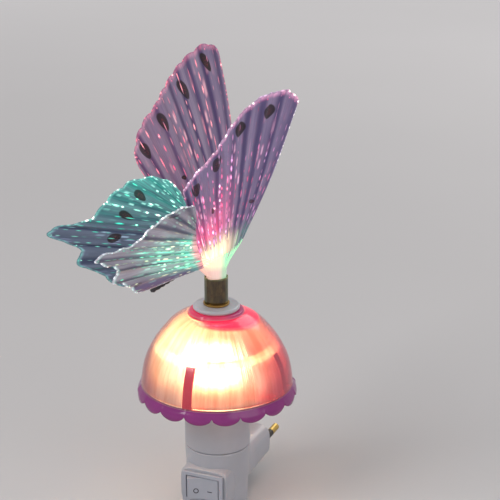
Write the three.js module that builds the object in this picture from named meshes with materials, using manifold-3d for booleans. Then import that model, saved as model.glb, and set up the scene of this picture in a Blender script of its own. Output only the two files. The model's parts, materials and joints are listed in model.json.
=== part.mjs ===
// Plug-in fibre optic butterfly lamp, in millimetres, +Z up.
// The origin is the middle of the plug's wall face, with +Y into the wall.
import * as THREE from "three";
import { mergeVertices } from "three/addons/utils/BufferGeometryUtils.js";
import Module from "manifold-3d";

const wasm = await Module();
wasm.setup();

// Fits and faceting
const clearance = 0.3;
const overrun = 2;
const roundSegments = 36;
const middleSegments = 22;
const smallSegments = 12;
const wireSides = 8;
const wireSteps = 14;
const right = Math.PI / 2;

// Column and plug arm
const axisReach = 42;
const columnRadius = 17.2;
const columnBaseRadius = 15.8;
const columnWall = 2;
const columnEdge = 1.2;
const seamRise = 17.1;
const columnDepth = 33.6;
const armHalfWidth = 13.2;
const armHalfHeight = 9.8;
const armFlare = 1;
const armWall = 1.4;
const armSections = 3;
const armSectionPoints = 28;
const armSquareness = 3.6;
const bossSquareness = 4.8;
const armStartShare = 0.2;
const armFlarePower = 1.3;

// Base cap and its screws
const capThickness = 2;
const capSpigotWall = 2;
const capSpigotHeight = 3;
const screwRadius = 1.2;
const screwHeadRadius = 2.4;
const screwHeadHeight = 1.3;
const postRadius = 3;
const postHeight = 10;
const postTurn = 0.44;

// Plug plate, pins and their insulating sleeves
const plateThickness = 3;
const platePostLength = 11;
const plateScrewSpread = 5.6;
const plateScrewLength = 9;
const pinSpacing = 19;
const pinRadius = 2;
const pinLength = 19;
const pinRoot = 9;
const pinNeckRadius = 1.35;
const pinNeckLength = 10;
const pinTailRadius = 1.5;
const pinSleeveGap = 0.15;

// Rocker switch
const switchFaceReach = 20.4;
const switchDrop = 18.6;
const rockerHalfLength = 8.95;
const rockerHalfHeight = 6.2;
const rockerPivotDepth = 2.5;
const rockerStand = 1;
const rockerSkirt = 1.9;
const rockerFacet = THREE.MathUtils.degToRad(10);
const rockerThrow = THREE.MathUtils.degToRad(10);
const rockerStemHalf = 2.1;
const rockerStemReach = 5.4;
const bezelLip = 1.3;
const bezelThickness = 1.4;
const caseWall = 0.9;
const caseDepth = 14.4;
const bossMargin = 3.3;
const bossChamfer = 1.2;
const bossDraft = 0.8;
const plungerRadius = 1.1;
const plungerTipReach = 7.9;
const plungerLength = 5;
const plungerBoreRoof = 0.9;
const springWire = 0.22;
const springTurns = 3;
const bladeHalfLength = 6.5;
const bladeThickness = 0.6;
const bladeHeight = 4;
const bladeRatio = 0.6;
const terminalThickness = 0.8;
const terminalHeight = 4;
const terminalTail = 6;
const baseThickness = 1.2;

// Wires
const wireRadius = 0.85;

// Upper sleeve and lamp holder
const sleeveHeight = 28.1;
const sleeveTopRadius = 17.2;
const sleeveBore = 14;
const sleeveFloor = 2.4;
const spigotWall = 1.8;
const spigotDepth = 4;
const holderBaseHeight = 6;
const holderTubeRadius = 10.5;
const holderRise = 3;
const shellRadius = 7.6;
const shellWall = 0.35;
const shellHeight = 16.5;
const shellLift = 2;
const contactRadius = 2.6;
const contactHeight = 1.2;
const contactRivet = 1;
const contactRivetTail = 1;

// Bulb
const bulbThreadRadius = 6.9;
const bulbThreadDepth = 0.45;
const bulbThreadSpacing = 2.8;
const bulbThreads = 5;
const bulbTipRadius = 2.4;
const bulbTipHeight = 0.9;
const bulbTaper = 3.2;
const bulbCollarRadius = 11;
const bulbCollarHeight = 4.5;
const globeRadius = 11.6;
const globeWall = 1;
const globeHeight = 18;
const boardThickness = 1;
const ledSize = 3.2;
const ledHeight = 1.5;
const ledRing = 4.6;

// Shade shell, as shares of its radius and height from the scallops' root up
const shadeRadius = 40;
const shadeHeight = 40.4;
const shadeWall = 1.5;
const shadeBaseRise = 6.6;
const scallopDepth = 6.4;
const scallopFlare = 1.5;
const scallopRootShare = 0.42;
const scallopCount = 18;
const shadeSegments = 72;
const shadeRows = 6;
const shadeStepRadius = 14;
const shadeStepRise = 0.9;
const shadeProfileShares = [
  [0.99, 0], [0.966, 0.183], [0.92, 0.356], [0.82, 0.554],
  [0.69, 0.728], [0.55, 0.87], [0.35, 0.97],
];

// Shade liner
const linerWall = 1.2;
const linerTopRadius = 20;
const linerRows = 5;
const ledgeDepth = 2.4;
const ledgeThickness = 1.5;
const slotClearance = 0.4;

// Shade carrier
const hubThickness = 2.5;
const hubWidth = 6.2;
const legCount = 4;
const legWidth = 4.8;
const legThickness = 2;
const legRows = 4;
const legTopRise = 20.5;
const legFaceGap = 0.5;
const nutHeight = 3;
const nutWidth = 3.6;

// Collar on the shade
const collarRadius = 12.1;
const collarThickness = 2.2;
const collarNeckRadius = 8.2;
const collarNeckDrop = 7;
const collarNutHeight = 3.4;
const collarNutRadius = 11.6;
const collarNutSides = 6;

// Ferrule, film wrap and fibre bundle
const ferruleRadius = 5.7;
const ferruleWall = 0.55;
const ferruleLip = 1.1;
const ferruleLipThickness = 0.9;
const ferruleRise = 2.2;
const ferruleDrop = 10;
const filmLength = 11.6;
const filmThickness = 0.45;
const bundleRows = 5;
const bundleSides = 24;
const fanFrontLength = 12.4;
const fanTailLength = 8;
const fanHalfWidth = 6.6;
const fanFlarePower = 1.15;

// Butterfly body, whose line runs through bodyPoint, given from the lamp axis and the shade's top
const bodyPointX = -4.3;
const bodyPointY = -2.1;
const bodyRise = 28.2;
const heading = THREE.MathUtils.degToRad(39.4);
const pitch = THREE.MathUtils.degToRad(27.9);
const thoraxRadius = 2.2;
const thoraxTail = 8;
const thoraxNose = 12;
const abdomenRadius = 1.5;
const abdomenWaist = 1.15;
const abdomenLength = 25;
const abdomenRings = 9;
const headRadius = 2;
const headLength = 8;

// Wings: spans, fan outlines as shares of the span (along the body, outwards), and places to
// the far side of the body, with angles in degrees. Each bow bends the leading edge forwards, each
// crown swells the front half of the margin, and gather draws the pleats' roots together.
const foreSpan = 93;
const hindSpan = 57;
const wingThickness = 0.6;
const pleatHeight = 0.8;
const pleatRootShare = 0.3;
const scallopBulge = 1.5;
const scallopOutShare = 0.15;
const wingRows = 5;
const forePleats = 11;
const hindPleats = 12;
const stepsPerPleat = 3;
const foreCornerLift = 5;
const foreRootShares = [[0.215, 0], [-0.054, 0]];
const foreLeanShare = 0.42;
const hindLeanShare = -0.55;
const foreMarginShares = [
  [0.7, 0.88], [0.703, 0.93], [0.67, 0.985], [0.595, 0.997], [0.51, 0.988], [0.4, 0.935],
  [0.31, 0.862], [0.245, 0.805], [0.143, 0.745], [0.075, 0.69], [0.015, 0.61], [0.005, 0.51],
];
const hindRootShares = [
  [0.12, 0.5], [0.05, 0.25], [-0.01, 0.05], [-0.06, 0.005], [-0.13, 0.005], [-0.2, 0.035],
];
const hindMarginShares = [
  [0.14, 0.6], [0.1, 0.74], [-0.02, 0.86], [-0.2, 0.925], [-0.42, 0.91], [-0.58, 0.865],
  [-0.72, 0.9], [-0.88, 0.985], [-0.985, 0.99], [-0.93, 0.88], [-0.84, 0.735],
  [-0.86, 0.67], [-0.92, 0.6], [-0.83, 0.465], [-0.79, 0.34], [-0.735, 0.22],
];
const hindNearRootShares = [
  [0.02, 0.72], [-0.012, 0.611], [-0.044, 0.487], [-0.067, 0.352], [-0.075, 0.231],
  [-0.076, 0.12], [-0.08, -0.01],
];
const hindNearMarginShares = [[0.04, 0.815], [-0.06, 0.885], ...hindMarginShares.slice(3)];
const foreFarHinge = 5.3;
const foreNearHinge = 4.2;
const hindFarHinge = 3.3;
const hindNearHinge = 6.2;
const foreFarBow = 3.6;
const foreNearBow = 1.8;
const foreFarCrown = -3.8;
const foreNearCrown = 4;
const wings = [
  {
    name: "wing_fore_far", fore: true, hinge: foreFarHinge, bow: foreFarBow, crown: foreFarCrown,
    rootShares: foreRootShares, marginShares: foreMarginShares,
    dihedral: 62, sweep: -2.4, twist: 2, spread: 1.14, gather: 1,
  },
  {
    name: "wing_fore_near", fore: true, hinge: -foreNearHinge, bow: foreNearBow, crown: foreNearCrown,
    rootShares: foreRootShares, marginShares: foreMarginShares,
    dihedral: 63, sweep: 2.4, twist: -12.7, spread: 0.96, gather: 1,
  },
  {
    name: "wing_hind_far", fore: false, hinge: hindFarHinge, bow: 0, crown: 0,
    rootShares: hindRootShares, marginShares: hindMarginShares,
    dihedral: 69, sweep: -5.5, twist: -1, spread: 1.05, gather: 1.2,
  },
  {
    name: "wing_hind_near", fore: false, hinge: -hindNearHinge, bow: 0, crown: 0,
    rootShares: hindNearRootShares, marginShares: hindNearMarginShares,
    dihedral: 57, sweep: 5.5, twist: 7.9, spread: 0.95, gather: 0.72,
  },
];

// Levels and fits worked out from the sizes above
const sleeveFloorHole = shellRadius + 2 * wireRadius;
const seamZ = seamRise;
const columnBottomZ = seamZ - columnDepth;
const switchCentreZ = seamZ - switchDrop;
const columnBore = columnBaseRadius - columnWall;
const sleeveBottomZ = seamZ + clearance;
const sleeveTopZ = sleeveBottomZ + sleeveHeight;
const holderBottomZ = sleeveBottomZ + sleeveFloor + clearance;
const holderFloorZ = holderBottomZ + holderBaseHeight;
const holderTopZ = sleeveTopZ + holderRise;
const shellBottomZ = holderFloorZ + shellLift;
const shadeBaseZ = sleeveTopZ + shadeBaseRise;
const shadeTopZ = shadeBaseZ + shadeHeight;
const collarTopZ = shadeTopZ + clearance + collarThickness;
const bodyZ = shadeTopZ + bodyRise;
const switchPivotReach = switchFaceReach - rockerPivotDepth;
const contactTopZ = holderFloorZ + clearance + contactHeight;
const bulbTipZ = contactTopZ + clearance;
const bulbThreadZ = bulbTipZ + bulbTipHeight + clearance;
const bulbCapTopZ = bulbThreadZ + bulbTaper + bulbThreads * bulbThreadSpacing;
const bulbCollarZ = bulbCapTopZ + clearance;
const bulbCollarTopZ = holderTopZ + clearance + bulbCollarHeight;
const boardZ = bulbCollarTopZ + clearance;

// The group whose Z axis is the lamp's axis
const lamp = new THREE.Group();
lamp.name = "lamp";
lamp.position.y = -axisReach;
const part = new THREE.Group();
part.name = "fibre_lamp";
part.add(lamp);

// Materials
const plastic = (color, roughness) => new THREE.MeshStandardMaterial({ color, roughness, metalness: 0 });
const metal = (color, roughness) => new THREE.MeshStandardMaterial({ color, roughness, metalness: 1 });
const glowing = (color, light) => new THREE.MeshStandardMaterial({
  color, roughness: 0.4, metalness: 0, emissive: light, emissiveIntensity: 1,
});
const bodyWhite = plastic(0xe8e6ea, 0.35);
const switchWhite = plastic(0xdcdce2, 0.3);
const innerWhite = plastic(0xd8d4cc, 0.5);
const brass = metal(0xc9a24a, 0.3);
const steel = metal(0xb8babd, 0.3);
const pinkShade = plastic(0xb83a9a, 0.25);
const frosted = glowing(0xffd9b0, 0xffc080);
const collarWhite = plastic(0xdfe3ee, 0.3);
const darkFilm = plastic(0x3a2c12, 0.4);
const fibreGlow = glowing(0xffe6c0, 0xffe0b0);
const wingCloth = plastic(0x8d86c4, 0.8);
const bodyBlack = plastic(0x151318, 0.7);
const wireBrown = plastic(0x8a4a2a, 0.5);
const wireBlue = plastic(0x3a5aa0, 0.5);

// Adds a named mesh to a group
function add(name, geometry, material, group = lamp) {
  const mesh = new THREE.Mesh(geometry, material);
  mesh.name = name;
  group.add(mesh);
  return mesh;
}

// Keeps only positions, with shared corners merged, and turns the faces outwards
function closed(geometry) {
  const bare = geometry.clone();
  bare.deleteAttribute("normal");
  bare.deleteAttribute("uv");
  const merged = mergeVertices(bare, clearance / 1000);
  const place = merged.attributes.position;
  const index = merged.index.array;
  const [a, b, c] = [new THREE.Vector3(), new THREE.Vector3(), new THREE.Vector3()];
  let volume = 0;
  for (let i = 0; i < index.length; i += 3) {
    a.fromBufferAttribute(place, index[i]);
    b.fromBufferAttribute(place, index[i + 1]);
    c.fromBufferAttribute(place, index[i + 2]);
    volume += a.dot(b.cross(c));
  }
  if (volume < 0) {
    for (let i = 0; i < index.length; i += 3) {
      [index[i + 1], index[i + 2]] = [index[i + 2], index[i + 1]];
    }
  }
  return merged;
}

// A geometry as a solid that can be joined and cut
function solid(geometry) {
  const merged = closed(geometry);
  return new wasm.Manifold(new wasm.Mesh({
    numProp: 3,
    vertProperties: merged.attributes.position.array,
    triVerts: new Uint32Array(merged.index.array),
  }));
}

// A joined or cut solid as a geometry
function shaped(made) {
  const mesh = made.getMesh();
  const geometry = new THREE.BufferGeometry();
  geometry.setAttribute("position", new THREE.BufferAttribute(mesh.vertProperties, 3));
  geometry.setIndex(new THREE.BufferAttribute(mesh.triVerts, 1));
  geometry.computeVertexNormals();
  return geometry;
}

// A turned shape about Z from [radius, height] pairs
function turned(profile, segments = roundSegments) {
  const points = profile.map(([radius, height]) => new THREE.Vector2(radius, height));
  return new THREE.LatheGeometry(points, segments).rotateX(right);
}

// A ring about Z, between two radii and two heights
function ring(inner, outer, low, high, segments = roundSegments) {
  return turned([[inner, low], [outer, low], [outer, high], [inner, high], [inner, low]], segments);
}

// A round rod about Z between two heights
function rod(radius, low, high, segments = smallSegments) {
  return turned([[0, low], [radius, low], [radius, high], [0, high]], segments);
}

// A block between two corners
function block(low, high) {
  const size = high.map((value, i) => value - low[i]);
  const middle = high.map((value, i) => (value + low[i]) / 2);
  return new THREE.BoxGeometry(...size).translate(...middle);
}

// A flat outline pushed along Z by a depth
function pushed(outline, depth) {
  const shape = new THREE.Shape(outline.map(([x, y]) => new THREE.Vector2(x, y)));
  return new THREE.ExtrudeGeometry(shape, { depth, bevelEnabled: false });
}

// A round wire along points
function wire(points, radius = wireRadius, sides = wireSides, steps = wireSteps) {
  const section = new THREE.Shape();
  for (let i = 0; i < sides; i += 1) {
    const turn = (i / sides) * 2 * Math.PI;
    const corner = [radius * Math.cos(turn), radius * Math.sin(turn)];
    if (i === 0) section.moveTo(...corner);
    else section.lineTo(...corner);
  }
  const path = new THREE.CatmullRomCurve3(points.map((point) => new THREE.Vector3(...point)));
  return new THREE.ExtrudeGeometry(section, { steps, extrudePath: path, bevelEnabled: false });
}

// A closed skin through rings of equal count, with flat fans on its ends
function loft(rings) {
  const count = rings[0].length;
  const place = [];
  const index = [];
  rings.flat().forEach((point) => place.push(point.x, point.y, point.z));
  for (let row = 0; row + 1 < rings.length; row += 1) {
    for (let i = 0; i < count; i += 1) {
      const next = (i + 1) % count;
      const [a, b] = [row * count + i, row * count + next];
      index.push(a, b, b + count, a, b + count, a + count);
    }
  }
  [0, rings.length - 1].forEach((row) => {
    const middle = new THREE.Vector3();
    rings[row].forEach((point) => middle.addScaledVector(point, 1 / count));
    const centre = place.length / 3;
    place.push(middle.x, middle.y, middle.z);
    for (let i = 0; i < count; i += 1) {
      const [a, b] = [row * count + i, row * count + ((i + 1) % count)];
      if (row === 0) index.push(centre, b, a);
      else index.push(centre, a, b);
    }
  });
  const geometry = new THREE.BufferGeometry();
  geometry.setAttribute("position", new THREE.Float32BufferAttribute(place, 3));
  geometry.setIndex(index);
  return closed(geometry);
}

// A rounded square section, square to Y
function armSection(halfWidth, halfHeight, y, squareness = armSquareness) {
  const points = [];
  for (let k = 0; k < armSectionPoints; k += 1) {
    const turn = (k / armSectionPoints) * 2 * Math.PI;
    const wide = Math.sign(Math.cos(turn)) * Math.abs(Math.cos(turn)) ** (2 / squareness);
    const high = Math.sign(Math.sin(turn)) * Math.abs(Math.sin(turn)) ** (2 / squareness);
    points.push(new THREE.Vector3(halfWidth * wide, y, halfHeight * high));
  }
  return points;
}

// Plug arm from inside the column to the wall face, deeper where it meets the column
function armSkin(inset) {
  const sections = [];
  for (let i = 0; i <= armSections; i += 1) {
    const share = armStartShare + (1 - armStartShare) * (i / armSections);
    const near = Math.min(1, (axisReach * (1 - share)) / (axisReach - columnRadius));
    const height = armHalfHeight - inset + armFlare * near ** armFlarePower;
    sections.push(armSection(armHalfWidth - inset, height, axisReach * share));
  }
  return loft(sections);
}

// Where the screws that hold the base cap stand
const capPostRing = columnBore - postRadius + clearance;
const capPosts = [-1, 1].map((side) => [
  side * capPostRing * Math.cos(postTurn), capPostRing * Math.sin(postTurn),
]);
const plateScrewZs = [plateScrewSpread, -plateScrewSpread];

// Sizes of the switch's opening, tube and flange
const openHalfLength = rockerHalfLength + clearance;
const openHalfHeight = rockerHalfHeight + clearance;
const tubeHalfLength = openHalfLength + caseWall;
const tubeHalfHeight = openHalfHeight + caseWall;
const bossFaceReach = switchFaceReach - bezelThickness - clearance;
const tubeEndReach = switchFaceReach - caseDepth;

// Lower housing
function lowerHousing() {
  const bodyProfile = [
    [0, columnBottomZ], [columnBaseRadius, columnBottomZ], [columnRadius, seamZ - columnEdge / 2],
    [columnRadius - columnEdge / 4, seamZ], [0, seamZ],
  ];
  const bossHalves = [tubeHalfLength + bossMargin, tubeHalfHeight + bossMargin];
  const boss = loft([[bossDraft, 0], [0, bossFaceReach - bossChamfer], [-bossChamfer / 2, bossFaceReach]]
    .map(([more, reach]) => armSection(bossHalves[0] + more, bossHalves[1] + more, -reach, bossSquareness)));
  boss.translate(0, 0, switchCentreZ);
  const sleeveRoom = ring(0, columnRadius + clearance, seamZ, seamZ + columnDepth);
  const bore = rod(columnBore, columnBottomZ - overrun, seamZ + overrun, roundSegments);
  const hollow = armSkin(armWall);
  const plateSeat = plateBlank(0, plateThickness + clearance + overrun).translate(0, overrun, 0);
  const window = block(
    [-tubeHalfLength - clearance, -switchFaceReach - overrun, switchCentreZ - tubeHalfHeight - clearance],
    [tubeHalfLength + clearance, 0, switchCentreZ + tubeHalfHeight + clearance],
  );
  let body = solid(turned(bodyProfile))
    .add(solid(boss))
    .add(solid(armSkin(0)))
    .subtract(solid(sleeveRoom))
    .subtract(solid(bore))
    .subtract(solid(hollow))
    .subtract(solid(plateSeat))
    .subtract(solid(window));
  const postBottom = columnBottomZ + capSpigotHeight + clearance;
  capPosts.forEach(([x, y]) => {
    body = body
      .add(solid(rod(postRadius, postBottom, postBottom + postHeight).translate(x, y, 0)))
      .subtract(solid(rod(
        screwRadius + clearance, postBottom - overrun, postBottom + postHeight - capThickness,
      ).translate(x, y, 0)));
  });
  const postEnd = axisReach - plateThickness - clearance;
  plateScrewZs.forEach((z) => {
    body = body
      .add(solid(rod(postRadius, -postEnd, -postEnd + platePostLength).rotateX(right).translate(0, 0, z)))
      .subtract(solid(rod(
        screwRadius + clearance, -postEnd - overrun, -postEnd + platePostLength - capThickness,
      ).rotateX(right).translate(0, 0, z)));
  });
  return shaped(body);
}

// The plug plate's outline, a slab whose outer face lies in the wall face
function plateBlank(inset, thickness) {
  const [halfWidth, halfHeight] = [armHalfWidth, armHalfHeight].map((half) => half - armWall / 2 - inset);
  return loft([axisReach - thickness, axisReach].map((y) => armSection(halfWidth, halfHeight, y)));
}

add("lower_housing", lowerHousing(), bodyWhite);

// Countersunk-style round head screw along +Z, its head's face at zero
function screw(length) {
  return turned([
    [0, 0], [screwHeadRadius - clearance, 0], [screwHeadRadius, clearance],
    [screwHeadRadius, screwHeadHeight], [screwRadius, screwHeadHeight], [screwRadius, length], [0, length],
  ], smallSegments);
}

// Base cap with its screws
function baseCap() {
  const top = columnBottomZ - clearance;
  const spigotOuter = columnBore - clearance;
  let cap = solid(turned([
    [0, top - capThickness], [columnBaseRadius - columnEdge, top - capThickness],
    [columnBaseRadius, top - capThickness + columnEdge], [columnBaseRadius, top],
    [spigotOuter, top], [spigotOuter, columnBottomZ + capSpigotHeight],
    [spigotOuter - capSpigotWall, columnBottomZ + capSpigotHeight], [spigotOuter - capSpigotWall, top],
    [0, top],
  ]));
  capPosts.forEach(([x, y]) => {
    const boss = rod(postRadius - 2 * clearance, top - capThickness / 2, columnBottomZ + capSpigotHeight);
    const recess = rod(screwHeadRadius + clearance, top - capThickness - overrun,
      top - capThickness + screwHeadHeight + clearance);
    const hole = rod(screwRadius + clearance, top - capThickness, columnBottomZ + capSpigotHeight + overrun);
    cap = cap.add(solid(boss.translate(x, y, 0)))
      .subtract(solid(recess.translate(x, y, 0)))
      .subtract(solid(hole.translate(x, y, 0)));
  });
  return shaped(cap);
}

add("base_cap", baseCap(), bodyWhite);
const capScrewLength = capThickness + capSpigotHeight + postHeight - overrun * 2;
capPosts.forEach(([x, y], i) => {
  const placed = add(["base_screw_left", "base_screw_right"][i], screw(capScrewLength), steel);
  placed.position.set(x, y, columnBottomZ - clearance - capThickness);
});

// Plug plate, its screws, and the pins
function plugPlate() {
  let plate = solid(plateBlank(clearance, plateThickness));
  [-1, 1].forEach((side) => {
    const hole = rod(pinRadius + clearance, -axisReach - overrun, -axisReach + plateThickness + overrun);
    plate = plate.subtract(solid(hole.rotateX(right).translate((side * pinSpacing) / 2, 0, 0)));
  });
  plateScrewZs.forEach((z) => {
    const hole = rod(screwRadius + clearance, -axisReach - overrun, -axisReach + plateThickness + overrun);
    const recess = rod(screwHeadRadius + clearance, -axisReach - overrun,
      -axisReach + screwHeadHeight + 2 * clearance);
    plate = plate.subtract(solid(hole.rotateX(right).translate(0, 0, z)))
      .subtract(solid(recess.rotateX(right).translate(0, 0, z)));
  });
  return shaped(plate);
}

add("plug_back_plate", plugPlate(), bodyWhite);
plateScrewZs.forEach((z, i) => {
  const placed = add(["plate_screw_upper", "plate_screw_lower"][i], screw(plateScrewLength), steel);
  placed.rotation.x = right;
  placed.position.set(0, axisReach - clearance, z);
});

// A pin along -Z from its inner end, with a neck for the insulating sleeve
const pinEndZ = -(plateThickness + pinRoot) - pinLength;
function plugPin() {
  const shoulder = -pinRoot;
  const wall = -(plateThickness + pinRoot);
  return turned([
    [0, pinEndZ], [pinRadius * 0.7, pinEndZ], [pinRadius, pinEndZ + pinRadius * 0.4],
    [pinRadius, wall - pinNeckLength - pinSleeveGap], [pinNeckRadius, wall - pinNeckLength - pinSleeveGap],
    [pinNeckRadius, wall], [pinRadius, wall], [pinRadius, shoulder + clearance],
    [pinTailRadius, shoulder + clearance], [pinTailRadius, 0], [0, 0],
  ], smallSegments);
}

function pinSleeve() {
  const wall = -(plateThickness + pinRoot);
  const [low, high] = [wall - pinNeckLength, wall - pinSleeveGap];
  return ring(pinNeckRadius + pinSleeveGap, pinRadius, low, high, smallSegments);
}

const pinInnerReach = axisReach - plateThickness - pinRoot;
["left", "right"].forEach((hand, i) => {
  const pin = new THREE.Group();
  pin.position.set((i - 0.5) * pinSpacing, pinInnerReach, 0);
  pin.rotation.x = right;
  add(`plug_pin_${hand}`, plugPin(), brass, pin);
  add(`pin_sleeve_${hand}`, pinSleeve(), darkFilm, pin);
  lamp.add(pin);
});

// Switch frame: flange and tube, open front and back
function switchFrame() {
  const front = -switchFaceReach;
  const flange = block(
    [-tubeHalfLength - bezelLip, front, -tubeHalfHeight - bezelLip],
    [tubeHalfLength + bezelLip, front + bezelThickness, tubeHalfHeight + bezelLip],
  );
  const tube = block(
    [-tubeHalfLength, front, -tubeHalfHeight], [tubeHalfLength, front + caseDepth, tubeHalfHeight],
  );
  const mouth = block(
    [-openHalfLength, front - overrun, -openHalfHeight],
    [openHalfLength, front + caseDepth + overrun, openHalfHeight],
  );
  return shaped(solid(flange).add(solid(tube)).subtract(solid(mouth)));
}

const switchGroup = new THREE.Group();
switchGroup.position.z = switchCentreZ;
lamp.add(switchGroup);
add("switch_frame", switchFrame(), switchWhite, switchGroup);

// Rocker with two facets that meet in a shallow valley, its ends arcs about the pivot
function rockerOutline() {
  const tipDepth = -(rockerPivotDepth + rockerStand);
  const tipAngle = Math.asin(tipDepth / rockerHalfLength);
  const skirtAngle = Math.asin(rockerSkirt / rockerHalfLength);
  const arc = [0, 0.5, 1].map((share) => {
    const angle = tipAngle + (skirtAngle - tipAngle) * share;
    return [rockerHalfLength * Math.cos(angle), rockerHalfLength * Math.sin(angle)];
  });
  const valley = [0, tipDepth + arc[0][0] * Math.tan(rockerFacet)];
  const stem = [[rockerStemHalf, rockerSkirt], [rockerStemHalf, rockerStemReach]];
  const rightSide = [...arc, ...stem];
  const leftSide = rightSide.map(([x, y]) => [-x, y]).reverse();
  return [valley, ...rightSide, ...leftSide];
}

const pivot = new THREE.Group();
pivot.position.y = -switchPivotReach;
pivot.rotation.z = rockerThrow;
switchGroup.add(pivot);
const boreReach = rockerStemReach + overrun;
const plungerBore = rod(plungerRadius + clearance, -boreReach, plungerBoreRoof).rotateX(right);
const rockerBody = pushed(rockerOutline(), 2 * rockerHalfHeight).translate(0, 0, -rockerHalfHeight);
add("rocker", shaped(solid(rockerBody).subtract(solid(plungerBore))), switchWhite, pivot);

// Plunger with a round nose, pressed out by the spring behind it
const plungerStart = plungerTipReach - plungerLength;
const noseProfile = [0, 0.25, 0.5, 0.75, 1].map((share) => [
  plungerRadius * Math.sin(share * right),
  plungerLength - plungerRadius + plungerRadius * Math.cos(share * right),
]);
const plunger = turned([[0, 0], [plungerRadius, 0], ...noseProfile.reverse()], smallSegments).rotateX(-right);
add("rocker_plunger", plunger, brass, pivot).position.y = plungerStart;
const springRadius = plungerRadius - springWire;
const springStart = -plungerBoreRoof + clearance + springWire;
const springEnd = plungerStart - clearance - springWire;
const springPoints = [];
for (let i = 0; i <= springTurns * wireSides; i += 1) {
  const turn = (i / wireSides) * 2 * Math.PI;
  const along = springStart + ((springEnd - springStart) * i) / (springTurns * wireSides);
  springPoints.push([springRadius * Math.cos(turn), along, springRadius * Math.sin(turn)]);
}
const springCoil = wire(springPoints, springWire, 5, springTurns * wireSides);
add("rocker_spring", springCoil, steel, pivot);
const coilGap = Math.abs(springEnd - springStart) / springTurns - 2 * springWire;
console.log(`least gap between the spring's coils: ${coilGap.toFixed(2)} mm`);

// Contact blade, which rocks on the common terminal the other way from the rocker
const bladeReach = plungerTipReach + clearance + bladeThickness / 2;
const blade = new THREE.Group();
blade.position.y = -switchPivotReach + bladeReach;
blade.rotation.z = -bladeRatio * rockerThrow;
switchGroup.add(blade);
const bladeShape = block(
  [-bladeHalfLength, -bladeThickness / 2, -bladeHeight / 2],
  [bladeHalfLength, bladeThickness / 2, bladeHeight / 2],
);
add("contact_blade", bladeShape, brass, blade);

// Switch base with its two terminals
const bladeTilt = bladeRatio * rockerThrow;
const loadX = -(bladeHalfLength * Math.cos(bladeTilt) - terminalThickness);
const loadReach = -switchPivotReach + bladeReach + bladeThickness + clearance
  + bladeHalfLength * Math.sin(bladeTilt);
const commonReach = -switchPivotReach + bladeReach + bladeThickness / 2 + clearance;
const baseFront = -tubeEndReach + clearance;
const terminalEnd = baseFront + baseThickness + terminalTail;

function switchBase() {
  let plate = solid(block(
    [-tubeHalfLength, baseFront, -tubeHalfHeight],
    [tubeHalfLength, baseFront + baseThickness, tubeHalfHeight],
  ));
  [0, loadX].forEach((x) => {
    const half = [terminalThickness / 2 + clearance, terminalHeight / 2 + clearance];
    plate = plate.subtract(solid(block(
      [x - half[0], baseFront - overrun, -half[1]],
      [x + half[0], baseFront + baseThickness + overrun, half[1]],
    )));
  });
  return shaped(plate);
}

function terminal(x, front) {
  return block(
    [x - terminalThickness / 2, front, -terminalHeight / 2],
    [x + terminalThickness / 2, terminalEnd, terminalHeight / 2],
  );
}

add("switch_base", switchBase(), innerWhite, switchGroup);
add("terminal_common", terminal(0, commonReach), brass, switchGroup);
add("terminal_load", terminal(loadX, loadReach), brass, switchGroup);

// Upper sleeve: spigot in the housing, floor for the lamp holder, slightly tapered wall
function upperSleeve() {
  const spigotOuter = columnBore - clearance;
  const spigotInner = spigotOuter - spigotWall;
  return turned([
    [sleeveFloorHole, sleeveBottomZ], [spigotInner, sleeveBottomZ], [spigotInner, seamZ - spigotDepth],
    [spigotOuter, seamZ - spigotDepth], [spigotOuter, sleeveBottomZ],
    [columnRadius - columnEdge / 4, sleeveBottomZ], [columnRadius, sleeveBottomZ + columnEdge / 2],
    [sleeveTopRadius, sleeveTopZ - columnEdge / 2], [sleeveTopRadius - columnEdge / 2, sleeveTopZ],
    [sleeveBore, sleeveTopZ], [sleeveBore, sleeveBottomZ + sleeveFloor],
    [sleeveFloorHole, sleeveBottomZ + sleeveFloor], [sleeveFloorHole, sleeveBottomZ],
  ]);
}

add("upper_sleeve", upperSleeve(), bodyWhite);

// Lamp holder with its brass screw shell and centre contact
const holderBore = shellRadius + clearance;
const neutralX = shellRadius - shellWall / 2;
const neutralHole = wireRadius + clearance;
function lampHolder() {
  const body = turned([
    [contactRivet + clearance, holderBottomZ], [sleeveBore - clearance, holderBottomZ],
    [sleeveBore - clearance, holderFloorZ], [holderTubeRadius, holderFloorZ],
    [holderTubeRadius, holderTopZ], [holderBore, holderTopZ], [holderBore, holderFloorZ],
    [contactRivet + clearance, holderFloorZ], [contactRivet + clearance, holderBottomZ],
  ], middleSegments);
  const hole = rod(neutralHole, holderBottomZ - overrun, holderFloorZ + overrun)
    .translate(neutralX - wireRadius, 0, 0);
  return shaped(solid(body).subtract(solid(hole)));
}

add("lamp_holder", lampHolder(), innerWhite);
add("screw_shell", ring(
  shellRadius - shellWall, shellRadius, shellBottomZ, shellBottomZ + shellHeight, middleSegments,
), brass);
add("centre_contact", turned([
  [0, holderBottomZ - contactRivetTail], [contactRivet, holderBottomZ - contactRivetTail],
  [contactRivet, holderFloorZ + clearance], [contactRadius, holderFloorZ + clearance],
  [contactRadius * 0.6, contactTopZ], [0, contactTopZ],
], smallSegments), brass);

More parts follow.
